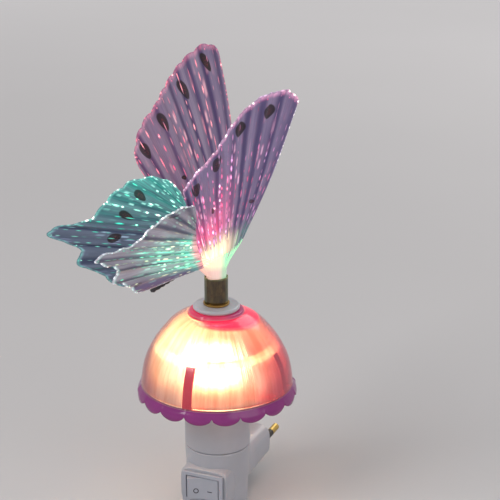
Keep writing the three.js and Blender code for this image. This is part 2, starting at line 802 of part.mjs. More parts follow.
// Wires between the pins, the switch and the lamp holder
const switchEnd = terminalEnd + clearance;
const pinEnd = pinInnerReach - clearance;
const halfPins = pinSpacing / 2;
add("live_wire", wire([
  [-halfPins, pinEnd, 0], [-halfPins, pinEnd * 0.85, 0], [-halfPins * 0.7, pinEnd * 0.5, switchCentreZ / 2],
  [-halfPins * 0.2, pinEnd * 0.22, switchCentreZ], [0, switchEnd * 2, switchCentreZ],
  [0, switchEnd, switchCentreZ],
]), wireBrown);
add("switched_wire", wire([
  [loadX, switchEnd, switchCentreZ], [loadX, switchEnd * 2.4, switchCentreZ],
  [loadX, switchEnd * 3.6, switchCentreZ + switchDrop * 0.3],
  [loadX * 0.6, switchEnd * 2, seamZ - switchDrop * 0.35],
  [0, 0, seamZ - sleeveFloor], [0, 0, holderBottomZ - contactRivetTail - clearance],
]), wireBrown);
add("neutral_wire", wire([
  [halfPins, pinEnd, 0], [halfPins, pinEnd * 0.85, 0], [halfPins * 0.9, pinEnd * 0.5, seamZ * 0.2],
  [halfPins * 0.8, pinEnd * 0.2, seamZ * 0.55], [neutralX - wireRadius, 0, seamZ - sleeveFloor],
  [neutralX - wireRadius, 0, holderBottomZ], [neutralX - wireRadius, 0, holderFloorZ - clearance],
]), wireBlue);

// Bulb
function bulbCap() {
  const profile = [[0, bulbThreadZ], [bulbTipRadius + clearance, bulbThreadZ]];
  const start = bulbThreadZ + bulbTaper;
  for (let i = 0; i < bulbThreads; i += 1) {
    profile.push([bulbThreadRadius - bulbThreadDepth, start + i * bulbThreadSpacing]);
    profile.push([bulbThreadRadius, start + (i + 0.5) * bulbThreadSpacing]);
  }
  profile.push([bulbThreadRadius - bulbThreadDepth, bulbCapTopZ], [0, bulbCapTopZ]);
  return turned(profile, smallSegments + wireSides / 2);
}

add("bulb_cap", bulbCap(), brass);
add("bulb_tip", rod(bulbTipRadius, bulbTipZ, bulbTipZ + bulbTipHeight), steel);
add("bulb_collar", turned([
  [0, bulbCollarZ], [bulbThreadRadius, bulbCollarZ], [bulbThreadRadius, holderTopZ + clearance],
  [bulbCollarRadius, bulbCollarTopZ - bulbCollarHeight / 3], [bulbCollarRadius, bulbCollarTopZ],
  [0, bulbCollarTopZ],
], middleSegments), innerWhite);
const boardRadius = bulbCollarRadius - 2 * globeWall;
add("led_board", rod(boardRadius, boardZ, boardZ + boardThickness, middleSegments), innerWhite);
["led_red", "led_green", "led_blue", "led_warm"].forEach((name, i) => {
  const turn = (i + 0.5) * right;
  const chip = new THREE.BoxGeometry(ledSize, ledSize, ledHeight);
  const tint = [0xff4040, 0x40ff80, 0x4060ff, 0xffd080][i];
  add(name, chip, glowing(tint, tint)).position.set(
    ledRing * Math.cos(turn), ledRing * Math.sin(turn), boardZ + boardThickness + clearance + ledHeight / 2,
  );
});

function bulbGlobe() {
  const arcs = 5;
  const mid = boardZ + globeHeight - globeRadius;
  const innerRadius = globeRadius - globeWall;
  const outer = [];
  const inner = [];
  for (let i = 0; i <= arcs; i += 1) {
    const turn = (i / arcs) * right;
    outer.push([globeRadius * Math.cos(turn), mid + globeRadius * Math.sin(turn)]);
    inner.push([innerRadius * Math.cos(turn), mid + innerRadius * Math.sin(turn)]);
  }
  outer[arcs][0] = 0;
  inner[arcs][0] = 0;
  return turned([
    [bulbCollarRadius - globeWall, boardZ], [bulbCollarRadius, boardZ], ...outer,
    ...inner.reverse(), [bulbCollarRadius - globeWall, boardZ],
  ], middleSegments);
}

add("bulb_globe", bulbGlobe(), frosted);

// The shade's outer curve from the scallops' root to the top, and the curve a wall's depth inside it
const shadeCurve = new THREE.SplineCurve(shadeProfileShares.map(
  ([wide, high]) => new THREE.Vector2(wide * shadeRadius, shadeBaseZ + high * shadeHeight),
));

function shadeOffset(share, depth) {
  const point = shadeCurve.getPoint(share);
  const along = shadeCurve.getTangent(share);
  return [point.x - depth * along.y, point.y + depth * along.x];
}

// The same curve at a height, as a share found by halving
function shareAtHeight(height, depth) {
  let [low, high] = [0, 1];
  for (let i = 0; i < 24; i += 1) {
    const middle = (low + high) / 2;
    if (shadeOffset(middle, depth)[1] < height) low = middle;
    else high = middle;
  }
  return (low + high) / 2;
}

// The same curve at a radius
function shareAtRadius(radius, depth) {
  let [low, high] = [0, 1];
  for (let i = 0; i < 24; i += 1) {
    const middle = (low + high) / 2;
    if (shadeOffset(middle, depth)[0] > radius) low = middle;
    else high = middle;
  }
  return (low + high) / 2;
}

function curveBetween(from, to, rows, depth) {
  const points = [];
  for (let i = 0; i <= rows; i += 1) points.push(shadeOffset(from + ((to - from) * i) / rows, depth));
  return points;
}

// Shade shell: the dome, a flat top with a raised ring, and a skirt of round lobes
function shadeShell() {
  const outer = curveBetween(0, 1, shadeRows, 0);
  const inner = curveBetween(0, 1, shadeRows, shadeWall);
  const hole = collarNeckRadius + clearance;
  const skirt = [
    [shadeRadius + scallopFlare - shadeWall, shadeBaseZ - scallopDepth],
    [shadeRadius + scallopFlare, shadeBaseZ - scallopDepth],
  ];
  const flat = [
    [shadeStepRadius - shadeStepRise / 2, shadeTopZ], [hole, shadeTopZ],
    [hole, shadeTopZ - shadeWall], [shadeStepRadius - shadeWall - shadeStepRise / 2, shadeTopZ - shadeWall],
  ];
  inner[0][1] = shadeBaseZ;
  const profile = [...skirt, ...outer, ...flat, ...inner.reverse(), skirt[0]];
  const shell = turned(profile, shadeSegments);
  const place = shell.attributes.position;
  const segmentTurn = (2 * Math.PI) / shadeSegments;
  for (let i = 0; i < place.count; i += 1) {
    const [x, y, z] = [place.getX(i), place.getY(i), place.getZ(i)];
    if (z < shadeBaseZ - scallopDepth / 2) {
      const turn = Math.round(Math.atan2(x, -y) / segmentTurn) * segmentTurn;
      const lobe = Math.sqrt(Math.abs(Math.sin((scallopCount / 2) * turn)));
      const depth = scallopDepth * (scallopRootShare + (1 - scallopRootShare) * lobe);
      place.setZ(i, shadeBaseZ - depth);
    }
  }
  return closed(shell);
}

add("shade_shell", shadeShell(), pinkShade);

// Shade liner: a diffuser under the shell, with a ledge inside and slots for the carrier's legs
const linerDepth = shadeWall + clearance;
const legTopZ = sleeveTopZ + clearance + hubThickness + legTopRise + shadeBaseRise / 2;
const ledgeZ = legTopZ + clearance;
function shadeLiner() {
  const inside = linerDepth + linerWall;
  const end = shareAtRadius(linerTopRadius, linerDepth);
  const [ledgeLow, ledgeHigh] = [ledgeZ, ledgeZ + ledgeThickness].map((z) => shareAtHeight(z, inside));
  const lowerOuter = curveBetween(0, end, linerRows, linerDepth);
  const upperInner = curveBetween(ledgeHigh, end, Math.ceil(linerRows / 2), inside);
  const lowerInner = curveBetween(0, ledgeLow, Math.ceil(linerRows / 2), inside);
  const ledgeRadius = shadeOffset(ledgeHigh, inside)[0] - ledgeDepth;
  lowerOuter[0][1] = shadeBaseZ + clearance;
  lowerInner[0][1] = shadeBaseZ + clearance;
  const profile = [
    ...lowerOuter, ...upperInner.reverse(),
    [ledgeRadius, ledgeZ + ledgeThickness], [ledgeRadius, ledgeZ],
    ...lowerInner.reverse(), lowerOuter[0],
  ];
  let liner = solid(turned(profile, roundSegments));
  const half = legWidth / 2 + slotClearance;
  for (let i = 0; i < legCount / 2; i += 1) {
    const slot = block(
      [-half, -shadeRadius - overrun, shadeBaseZ - scallopDepth], [half, shadeRadius + overrun, ledgeZ],
    );
    liner = liner.subtract(solid(slot.rotateZ(i * right)));
  }
  return shaped(liner);
}

add("shade_liner", shadeLiner(), frosted);

// Shade carrier: a hub on the sleeve, and four legs that stand inside the shell under the ledge
const hubZ = sleeveTopZ + clearance;
const hubBore = holderTubeRadius + clearance;
function shadeCarrier() {
  const legBase = shareAtHeight(shadeBaseZ, shadeWall + legFaceGap);
  const legTop = shareAtHeight(legTopZ, shadeWall + legFaceGap);
  const outer = curveBetween(legBase, legTop, legRows, shadeWall + legFaceGap);
  const inner = outer.map(([radius, height]) => [radius - legThickness, height]);
  outer[legRows][1] = legTopZ;
  inner[legRows][1] = legTopZ;
  const foot = outer[0][0];
  const outline = [
    [hubBore + hubWidth / 2, hubZ], [foot - hubThickness, hubZ], [foot, hubZ + hubThickness],
    ...outer, ...inner.reverse(), [foot - legThickness - hubThickness, hubZ + hubThickness],
    [hubBore + hubWidth / 2, hubZ + hubThickness],
  ];
  let carrier = solid(ring(hubBore, hubBore + hubWidth, hubZ, hubZ + hubThickness));
  for (let i = 0; i < legCount; i += 1) {
    const leg = pushed(outline, legWidth).translate(0, 0, -legWidth / 2).rotateX(right);
    carrier = carrier.add(solid(leg.rotateZ(i * right)));
  }
  return shaped(carrier);
}

add("shade_carrier", shadeCarrier(), innerWhite);
const nutZ = hubZ + hubThickness + clearance;
add("carrier_nut", ring(hubBore, hubBore + nutWidth, nutZ, nutZ + nutHeight, middleSegments), innerWhite);

// Collar on the shade, with the nut that holds it from below
const collarZ = shadeTopZ + clearance;
const collarBore = ferruleRadius + clearance;
const neckEndZ = shadeTopZ - collarNeckDrop;
add("top_collar", turned([
  [collarBore, neckEndZ], [collarNeckRadius, neckEndZ], [collarNeckRadius, collarZ],
  [collarRadius - collarThickness / 4, collarZ], [collarRadius, collarZ + collarThickness / 4],
  [collarRadius, collarTopZ - collarThickness / 3], [collarRadius - collarThickness / 3, collarTopZ],
  [collarBore, collarTopZ], [collarBore, neckEndZ],
], roundSegments), collarWhite);
const collarNutTop = shadeTopZ - shadeWall - clearance;
const nutBody = solid(rod(collarNutRadius, collarNutTop - collarNutHeight, collarNutTop, collarNutSides));
const nutHole = solid(rod(
  collarNeckRadius + clearance, collarNutTop - collarNutHeight - overrun, collarNutTop + overrun,
  middleSegments,
));
add("collar_nut", shaped(nutBody.subtract(nutHole)), collarWhite);

// Ferrule, film wrap and the fibre bundle
const lipZ = collarTopZ + clearance;
const ferruleTopZ = lipZ + ferruleLipThickness + ferruleRise;
const ferruleBottomZ = lipZ - ferruleDrop;
const ferruleBore = ferruleRadius - ferruleWall;
add("ferrule", turned([
  [ferruleBore, ferruleBottomZ], [ferruleRadius, ferruleBottomZ], [ferruleRadius, lipZ],
  [ferruleRadius + ferruleLip, lipZ], [ferruleRadius + ferruleLip, lipZ + ferruleLipThickness],
  [ferruleRadius, lipZ + ferruleLipThickness], [ferruleRadius, ferruleTopZ],
  [ferruleBore, ferruleTopZ], [ferruleBore, ferruleBottomZ],
], middleSegments), brass);
const filmZ = ferruleTopZ + clearance;
const filmTopZ = filmZ + filmLength;
const bundleRadius = ferruleBore - clearance;
add("film_wrap", ring(bundleRadius + clearance, bundleRadius + clearance + filmThickness,
  filmZ, filmTopZ, middleSegments), darkFilm);

// The body's own directions: forwards, to the far side, and up from its back
const forward = new THREE.Vector3(
  Math.cos(pitch) * Math.cos(heading), Math.cos(pitch) * Math.sin(heading), Math.sin(pitch),
);
const sideways = new THREE.Vector3(-Math.sin(heading), Math.cos(heading), 0);
const upwards = new THREE.Vector3().crossVectors(forward, sideways);
const bodyPoint = new THREE.Vector3(bodyPointX, bodyPointY, bodyZ);

// A point given along the body, to its side and up from it
function bodyPlace(along, aside, up) {
  return bodyPoint.clone()
    .addScaledVector(forward, along)
    .addScaledVector(sideways, aside)
    .addScaledVector(upwards, up);
}

// Fibre bundle: round in the ferrule, then opening to a long oval under the body
const fanDrop = thoraxRadius + clearance;
function fibreBundle() {
  const rings = [];
  const straight = [ferruleBottomZ - clearance, filmTopZ];
  straight.forEach((z) => {
    const points = [];
    for (let k = 0; k < bundleSides; k += 1) {
      const turn = (k / bundleSides) * 2 * Math.PI + heading;
      points.push(new THREE.Vector3(bundleRadius * Math.cos(turn), bundleRadius * Math.sin(turn), z));
    }
    rings.push(points);
  });
  const start = rings[1];
  for (let row = 1; row <= bundleRows; row += 1) {
    const share = row / bundleRows;
    const points = start.map((point, k) => {
      const turn = (k / bundleSides) * 2 * Math.PI;
      const length = Math.cos(turn) > 0 ? fanFrontLength : fanTailLength;
      const end = bodyPlace(length * Math.cos(turn), fanHalfWidth * Math.sin(turn), -fanDrop);
      const flare = share ** fanFlarePower;
      return new THREE.Vector3(
        point.x + (end.x - point.x) * flare,
        point.y + (end.y - point.y) * flare,
        point.z + (end.z - point.z) * share,
      );
    });
    rings.push(points);
  }
  return loft(rings);
}

add("fibre_bundle", fibreBundle(), fibreGlow);

// Body pieces, turned about the body's line
const bodyFrame = new THREE.Group();
bodyFrame.position.copy(bodyPoint);
bodyFrame.quaternion.setFromRotationMatrix(new THREE.Matrix4().makeBasis(
  sideways, upwards, forward,
));
lamp.add(bodyFrame);
add("thorax", turned([
  [0, -thoraxTail], [thoraxRadius * 0.7, -thoraxTail], [thoraxRadius, -thoraxTail * 0.4],
  [thoraxRadius, thoraxNose * 0.6], [thoraxRadius * 0.8, thoraxNose], [0, thoraxNose],
], smallSegments), bodyBlack, bodyFrame);

function abdomenShape() {
  const start = -thoraxTail - clearance - abdomenLength;
  const profile = [[0, start]];
  for (let i = 0; i < abdomenRings; i += 1) {
    const low = start + (i / abdomenRings) * abdomenLength;
    profile.push([abdomenWaist, low], [abdomenRadius, low + (abdomenLength / abdomenRings) / 2]);
  }
  profile.push([abdomenWaist, start + abdomenLength], [0, start + abdomenLength]);
  return turned(profile, smallSegments / 2);
}

add("abdomen", abdomenShape(), bodyBlack, bodyFrame);
const headStart = thoraxNose + clearance;
add("head", turned([
  [0, headStart], [headRadius * 0.75, headStart], [headRadius, headStart + headLength * 0.35],
  [headRadius * 0.85, headStart + headLength * 0.75], [headRadius * 0.3, headStart + headLength],
  [0, headStart + headLength],
], smallSegments), bodyBlack, bodyFrame);

// A wing: a pleated fan of cloth between its root and its scalloped margin
function wingShape({
  fore, hinge, rootShares, marginShares, dihedral, sweep, twist, spread, bow, crown, gather,
}) {
  const side = Math.sign(hinge);
  const [tilt, turn, roll] = [dihedral, sweep, twist].map(THREE.MathUtils.degToRad);
  const span = fore ? foreSpan : hindSpan;
  const curve = (shares) => new THREE.SplineCurve(
    shares.map(([a, b]) => new THREE.Vector2(a * span, b * span)),
  );
  const rootCurve = curve(rootShares);
  const margin = curve(marginShares);
  const pleats = fore ? forePleats : hindPleats;
  const mixed = (one, much, other, rest) => one.clone().multiplyScalar(much).addScaledVector(other, rest);
  const out = mixed(sideways, side * Math.cos(tilt), upwards, Math.sin(tilt));
  const normal = mixed(sideways, -side * Math.sin(tilt), upwards, Math.cos(tilt));
  const edge = mixed(forward, Math.cos(roll), normal, Math.sin(roll));
  const origin = bodyPoint.clone().addScaledVector(sideways, hinge);
  // The distance outwards at which the root rests on the fan of fibres
  const rootDistance = (a) => {
    const lift = Math.sin(tilt) * Math.cos(turn) + Math.sin(turn) * Math.sin(roll) * Math.cos(tilt);
    const slope = Math.cos(turn) * Math.sin(roll) * Math.cos(tilt) - Math.sin(turn) * Math.sin(tilt);
    return (-(fanDrop - clearance - wingThickness) - a * slope) / lift;
  };
  const columns = pleats * stepsPerPleat;
  const sheets = [1, -1].map((face) => {
    const rows = [];
    for (let row = 0; row <= wingRows; row += 1) {
      const share = row / wingRows;
      const points = [];
      for (let i = 0; i <= columns; i += 1) {
        const across = i / columns;
        const root = rootCurve.getPointAt(across ** gather);
        root.y += rootDistance(root.x);
        if (fore) root.y += foreCornerLift * Math.max(0, 1 - across * 3) ** 2;
        const end = margin.getPointAt(across);
        const ray = end.clone().sub(root).normalize();
        const bulge = Math.abs(Math.sin(Math.PI * pleats * across)) - 1 + scallopOutShare;
        end.addScaledVector(ray, scallopBulge * bulge + crown * Math.sin(2 * Math.PI * across));
        const flat = root.lerp(end, share);
        const lean = (fore ? foreLeanShare : hindLeanShare) * flat.y;
        const opened = flat.x < lean || !fore ? spread : 1;
        flat.x = lean + (flat.x - lean) * opened + bow * Math.sin(Math.PI * share) * (1 - across) ** 2;
        const pleat = pleatHeight * (pleatRootShare + (1 - pleatRootShare) * share)
          * Math.cos(2 * Math.PI * pleats * across) / 2;
        const a = flat.x * Math.cos(turn) + flat.y * Math.sin(turn);
        const b = -flat.x * Math.sin(turn) + flat.y * Math.cos(turn);
        points.push(origin.clone()
          .addScaledVector(edge, a)
          .addScaledVector(out, b)
          .addScaledVector(normal, pleat + (face * wingThickness) / 2));
      }
      rows.push(points);
    }
    return rows;
  });
  // Each ring runs up one face's row and back along the other's
  const rings = sheets[0].map((points, row) => [...points, ...sheets[1][row].slice().reverse()]);
  return { rings, columns };
}

// Skins a wing's rings and closes the root and the margin with strips of faces
function wingSkin(wing) {
  const { rings, columns } = wingShape(wing);
  const count = rings[0].length;
  const place = [];
  const index = [];
  rings.flat().forEach((point) => place.push(point.x, point.y, point.z));
  for (let row = 0; row + 1 < rings.length; row += 1) {
    for (let i = 0; i < count; i += 1) {
      const next = (i + 1) % count;
      const [a, b] = [row * count + i, row * count + next];
      index.push(a, b, b + count, a, b + count, a + count);
    }
  }
  [0, rings.length - 1].forEach((row) => {
    const first = row * count;
    for (let i = 0; i < columns; i += 1) {
      const [a, b] = [first + i, first + i + 1];
      const [c, d] = [first + count - 1 - i, first + count - 2 - i];
      if (row === 0) index.push(b, a, c, b, c, d);
      else index.push(a, b, c, b, d, c);
    }
  });
  const geometry = new THREE.BufferGeometry();
  geometry.setAttribute("position", new THREE.Float32BufferAttribute(place, 3));
  geometry.setIndex(index);
  return closed(geometry);
}

wings.forEach((wing) => add(wing.name, wingSkin(wing), wingCloth));

export default part;
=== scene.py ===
import json
import math
from collections import namedtuple

import bpy
import numpy as np
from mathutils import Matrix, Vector


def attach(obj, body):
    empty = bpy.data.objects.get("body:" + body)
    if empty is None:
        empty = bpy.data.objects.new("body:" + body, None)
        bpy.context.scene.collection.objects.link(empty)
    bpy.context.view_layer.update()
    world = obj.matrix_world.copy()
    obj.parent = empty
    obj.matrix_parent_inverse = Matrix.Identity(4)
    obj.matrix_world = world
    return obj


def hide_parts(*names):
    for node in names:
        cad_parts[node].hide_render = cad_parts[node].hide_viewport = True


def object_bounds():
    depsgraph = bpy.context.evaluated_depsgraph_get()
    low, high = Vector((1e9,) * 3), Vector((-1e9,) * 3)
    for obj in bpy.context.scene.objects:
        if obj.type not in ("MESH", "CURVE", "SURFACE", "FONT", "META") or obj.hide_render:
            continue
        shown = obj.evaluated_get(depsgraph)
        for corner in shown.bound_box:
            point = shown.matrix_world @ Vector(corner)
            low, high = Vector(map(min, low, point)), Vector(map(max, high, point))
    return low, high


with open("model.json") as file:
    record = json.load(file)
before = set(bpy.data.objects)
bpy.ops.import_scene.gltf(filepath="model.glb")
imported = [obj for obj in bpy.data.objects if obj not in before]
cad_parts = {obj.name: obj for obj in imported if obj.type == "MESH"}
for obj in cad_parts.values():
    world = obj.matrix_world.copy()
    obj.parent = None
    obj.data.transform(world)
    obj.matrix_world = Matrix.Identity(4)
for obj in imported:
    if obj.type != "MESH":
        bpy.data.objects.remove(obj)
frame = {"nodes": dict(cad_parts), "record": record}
cad_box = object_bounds()
scene = bpy.context.scene

# Lengths of the lamp are in millimetres, and those of the camera, the stage and the noises in metres
MM = 0.001
AXIS_Y = -42.0
SQUARE = ((-1, -1), (1, -1), (1, 1), (-1, 1))


# A new object in the scene, and the angles that point an object along a direction
def linked(name, data):
    made = bpy.data.objects.new(name, data)
    scene.collection.objects.link(made)
    return made


def facing(direction):
    return direction.to_track_quat("-Z", "Y").to_euler()


# Camera: the photograph's angle and perspective
def make_camera():
    turn, lift, distance = math.radians(22.5), math.radians(19), 0.7
    aim = Vector((0.0186, AXIS_Y * MM, 0.1265))
    back = Vector((math.sin(turn) * math.cos(lift), -math.cos(turn) * math.cos(lift), math.sin(lift)))
    data = bpy.data.cameras.new("camera")
    data.lens, data.clip_start, data.clip_end = 100.8, 0.05, 50
    camera = linked("camera", data)
    camera.location = aim + back * distance
    camera.rotation_euler = facing(-back)
    scene.camera = camera


make_camera()


# Colours are written as they look on a screen, from 0 to 255
def linear(value):
    share = value / 255
    return share / 12.92 if share <= 0.04045 else ((share + 0.055) / 1.055) ** 2.4


def rgb(red, green, blue):
    return (linear(red), linear(green), linear(blue), 1.0)


def darker(colour, share):
    return (*(value * (1 - share) for value in colour[:3]), 1.0)


# A value in a material, which sums and products can use like a plain number
class Value:
    def __init__(self, paint, socket):
        self.paint, self.socket = paint, socket

    def __add__(self, other):
        return self.paint.math("ADD", self, other)

    def __mul__(self, other):
        return self.paint.math("MULTIPLY", self, other)

    def __sub__(self, other):
        return self.paint.math("SUBTRACT", self, other)

    def __rsub__(self, other):
        return self.paint.math("SUBTRACT", other, self)

    def __truediv__(self, other):
        return self.paint.math("DIVIDE", self, other)

    __radd__ = __add__
    __rmul__ = __mul__

    # Eases from one value to another while this one goes from low to high
    def span(self, low, high, to_low=0, to_high=1):
        return self.paint.value("MapRange", {
            "Value": self, "From Min": low, "From Max": high, "To Min": to_low, "To Max": to_high,
        }, interpolation_type="SMOOTHSTEP")


# A material, or another owner of shading nodes, whose nodes are added one by one
class Paint:
    def __init__(self, name, store=bpy.data.materials):
        self.owner = store.new(name)
        self.owner.use_nodes = True
        self.tree = self.owner.node_tree
        self.tree.nodes.clear()

    def add(self, kind, inputs, **settings):
        node = self.tree.nodes.new(f"ShaderNode{kind}")
        for key, value in settings.items():
            setattr(node, key, value)
        for key, value in inputs.items():
            if isinstance(value, Value):
                self.tree.links.new(value.socket, node.inputs[key])
            else:
                node.inputs[key].default_value = value
        return node

    def value(self, kind, inputs, output=0, **settings):
        return Value(self, self.add(kind, inputs, **settings).outputs[output])

    def math(self, operation, first, second=0):
        return self.value("Math", {0: first, 1: second}, operation=operation)

    def mix(self, factor, first, second):
        return self.value("Mix", {0: factor, 6: first, 7: second}, 2, data_type="RGBA")

    # Colours mixed over a first one, each by its own share
    def layers(self, colour, *layers):
        for share, other in layers:
            colour = self.mix(share, colour, other)
        return colour

    def ramp(self, value, stops):
        node = self.add("ValToRGB", {0: value})
        elements = node.color_ramp.elements
        while len(elements) < len(stops):
            elements.new(0.5)
        for element, (place, colour) in zip(elements, stops):
            element.position = place
            element.color = colour
        return Value(self, node.outputs[0])

    def place(self):
        return self.value("TexCoord", {}, "Object")

    def apart(self, vector):
        node = self.add("SeparateXYZ", {0: vector})
        return [Value(self, socket) for socket in node.outputs]

    # The same in millimetres, from the lamp's axis
    def from_axis(self, vector):
        x, y, z = (value * (1 / MM) for value in self.apart(vector))
        return x, y - AXIS_Y, z

    def distance(self, x, y):
        return self.math("SQRT", x * x + y * y + 1e-9)

    def joined(self, x=0, y=0, z=0):
        return self.value("CombineXYZ", {0: x, 1: y, 2: z})

    def noise(self, vector, scale, detail=2, roughness=0.5):
        return self.value("TexNoise", {
            "Vector": vector, "Scale": scale, "Detail": detail, "Roughness": roughness,
        })

    def chance(self, *values):
        return self.value("TexWhiteNoise", {0: self.joined(*values)})

    def map(self, name):
        return self.apart(self.value("UVMap", {}, uv_map=name))

    def surface(self, colour, rough, height, depth, glow=None, strength=1.0, volume=None, **fixed):
        inputs = {"Base Color": colour, "Roughness": rough}
        for key, value in fixed.items():
            inputs[key.replace("_", " ")] = value
        if glow is not None:
            inputs["Emission Color"] = glow
            inputs["Emission Strength"] = strength
        inputs["Normal"] = self.value("Bump", {"Height": height, "Distance": depth * MM})
        ends = {"Surface": self.value("BsdfPrincipled", inputs)}
        if volume is not None:
            ends["Volume"] = volume
        self.add("OutputMaterial", ends)
        return self.owner


# The photograph's right and front, in plan
RIGHT = (0.92, 0.38)
FRONT = (0.38, -0.92)


def toward(direction, x, y):
    return x * direction[0] + y * direction[1]


# Moulded plastic: faint mottling, fine grain in the gloss, and a soft orange peel
def plastic(name, colour, rough, grain=0.03, mottle=0.08, **rest):
    paint = Paint(name)
    place = paint.place()
    cloud = paint.noise(place, 90, 3)
    fine = paint.noise(place, 1500, 2)
    tone = paint.mix(cloud.span(0.35, 0.65), darker(colour, mottle), colour)
    shine = rough - 0.05 + cloud * 0.06 + fine * 0.05
    height = fine * 0.5 + paint.noise(place, 350, 1) * 0.5
    return paint.surface(tone, shine, height, grain, **rest)


# Metal: fine marks, drawn out along X and close together along Z, under a faint cloud
def metal(name, colour, rough):
    paint = Paint(name)
    place = paint.place()
    x, y, z = paint.apart(place)
    streak = paint.noise(paint.joined(x * 0.2, y, z * 6), 900, 3)
    cloud = paint.noise(place, 160, 3)
    tone = paint.mix(cloud.span(0.3, 0.7), darker(colour, 0.25), colour)
    return paint.surface(tone, rough - 0.08 + streak * 0.12 + cloud * 0.08, streak, 0.01, Metallic=1)


# An object with a mesh from points
def solid(name, points, faces):
    mesh = bpy.data.meshes.new(name)
    corners = (np.asarray(points, float) * MM).tolist()
    mesh.from_pydata(corners, [], [[int(i) for i in face] for face in faces])
    return linked(name, mesh)


# A piece of the lamp, with maps given per point
def piece(name, points, faces, body, replaces, material, maps=None, smooth=True):
    made = solid(name, points, faces)
    mesh = made.data
    corner = np.zeros(len(mesh.loops), int)
    mesh.loops.foreach_get("vertex_index", corner)
    for key, values in (maps or {}).items():
        layer = mesh.uv_layers.new(name=key)
        layer.data.foreach_set("uv", np.asarray(values, np.float32)[corner].ravel())
    mesh.polygons.foreach_set("use_smooth", [smooth] * len(mesh.polygons))
    mesh.update()
    mesh.materials.append(material)
    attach(made, body)
    if replaces:
        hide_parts(*replaces)
    return made


# Quads over a grid of points, row by row, closed round each row if asked
def grid_faces(rows, columns, wrap=False, start=0):
    found = []
    for row in range(rows - 1):
        for column in range(columns if wrap else columns - 1):
            after = (column + 1) % columns
            a, b = start + row * columns + column, start + row * columns + after
            found.append((a, b, b + columns, a + columns))
    return found


# The same for rings with a cap on each end, and for rings whose last joins their first
def capped_faces(rings, sides):
    last = (rings - 1) * sides
    caps = [tuple(range(sides))[::-1], tuple(range(last, last + sides))]
    return grid_faces(rings, sides, wrap=True) + caps


def looped_faces(rings, sides):
    total = rings * sides
    return [tuple(i % total for i in face) for face in grid_faces(rings + 1, sides, wrap=True)]


def full_turn(count):
    return np.arange(count) / count * 2 * math.pi


def unit(vectors):
    return vectors / np.linalg.norm(vectors, axis=-1, keepdims=True)


# Points about the lamp's axis
def about_axis(radius, turn, height):
    return np.stack(np.broadcast_arrays(radius * np.cos(turn), radius * np.sin(turn) + AXIS_Y, height), -1)


# A closed profile of radius and height, turned about the lamp's axis
def turned(profile, segments):
    rings = [about_axis(radius, full_turn(segments), height) for radius, height in profile]
    return np.concatenate(rings), looped_faces(len(rings), segments)


# A tube along points with a radius at each, and caps on its ends
def tube(path, radii, sides):
    along = unit(np.gradient(path, axis=0))
    across = np.cross(along[0], [0.13, 0.21, 1.0])
    turn = full_turn(sides)[:, None]
    rings = []
    for middle, direction, radius in zip(path, along, np.broadcast_to(radii, len(path))):
        across = unit(across - direction * (across @ direction))
        other = np.cross(direction, across)
        rings.append(middle + radius * (np.cos(turn) * across + np.sin(turn) * other))
    return np.concatenate(rings), capped_faces(len(rings), sides)


# Several tubes as one piece of the butterfly, each point carrying its own pair of values
def tubes_piece(name, runs, sides, material):
    points, faces, values = [], [], []
    count = 0
    for path, radii, pairs in runs:
        made, skin = tube(path, radii, sides)
        points.append(made)
        faces += [tuple(i + count for i in face) for face in skin]
        values.append(np.repeat(pairs, sides, axis=0))
        count += len(made)
    maps = {"fibre": np.concatenate(values)}
    piece(name, np.concatenate(points), faces, "butterfly", (), material, maps)


# A smooth curve through points, at shares from 0 to 1
def smooth_curve(points, shares):
    points = np.asarray(points, float)
    last = len(points) - 1
    place = np.clip(shares, 0, 1) * last
    first = np.minimum(np.floor(place).astype(int), last)
    t = (place - first)[..., None]
    before, start, end, after = (points[np.clip(first + step, 0, last)] for step in (-1, 0, 1, 2))
    leaving, arriving = (end - before) / 2, (after - start) / 2
    cubic = 2 * start - 2 * end + leaving + arriving
    square = 3 * end - 3 * start - 2 * leaving - arriving
    return cubic * t ** 3 + square * t ** 2 + leaving * t + start


def run_along(path):
    return np.concatenate([[0], np.cumsum(np.linalg.norm(np.diff(path, axis=0), axis=1))])


# The same curve, at shares of its length
def even_curve(points, shares):
    fine = np.linspace(0, 1, 3000)
    run = run_along(smooth_curve(points, fine))
    return smooth_curve(points, np.interp(shares * run[-1], run, fine))


# Shade: levels and walls as the model holds them, and the outer line as shares of its radius and height
SHADE_BASE, SHADE_TOP, SHADE_R, SHELL_WALL = 52.1, 92.5, 40.0, 1.5
SKIRT_R, SKIRT_DEPTH, SKIRT_FLARE = 41.5, 6.4, 1.9
FLAT_R, HOLE_R = 14.0, 8.5
LINER_DEPTH, LINER_WALL, LEDGE_Z, LEDGE_T = 1.8, 1.2, 72.4, 1.5
SHADE_SHARES = [
    (0.99, 0), (0.966, 0.183), (0.92, 0.356), (0.82, 0.554), (0.69, 0.728), (0.55, 0.87),
    (FLAT_R / SHADE_R, 0.97),
]
SHADE_LINE = [(wide * SHADE_R, SHADE_BASE + high * (SHADE_TOP - SHADE_BASE)) for wide, high in SHADE_SHARES]


# Points at a depth inside that line, and the share where their radius (0) or height (1) has a value
def shade_offset(shares, depth):
    step = 1e-4
    along = unit(smooth_curve(SHADE_LINE, shares + step) - smooth_curve(SHADE_LINE, shares - step))
    return smooth_curve(SHADE_LINE, shares) + depth * np.stack([-along[..., 1], along[..., 0]], -1)


def share_at(column, value, depth):
    fine = np.linspace(0, 1, 4000)
    return fine[np.argmin(np.abs(shade_offset(fine, depth)[:, column] - value))]


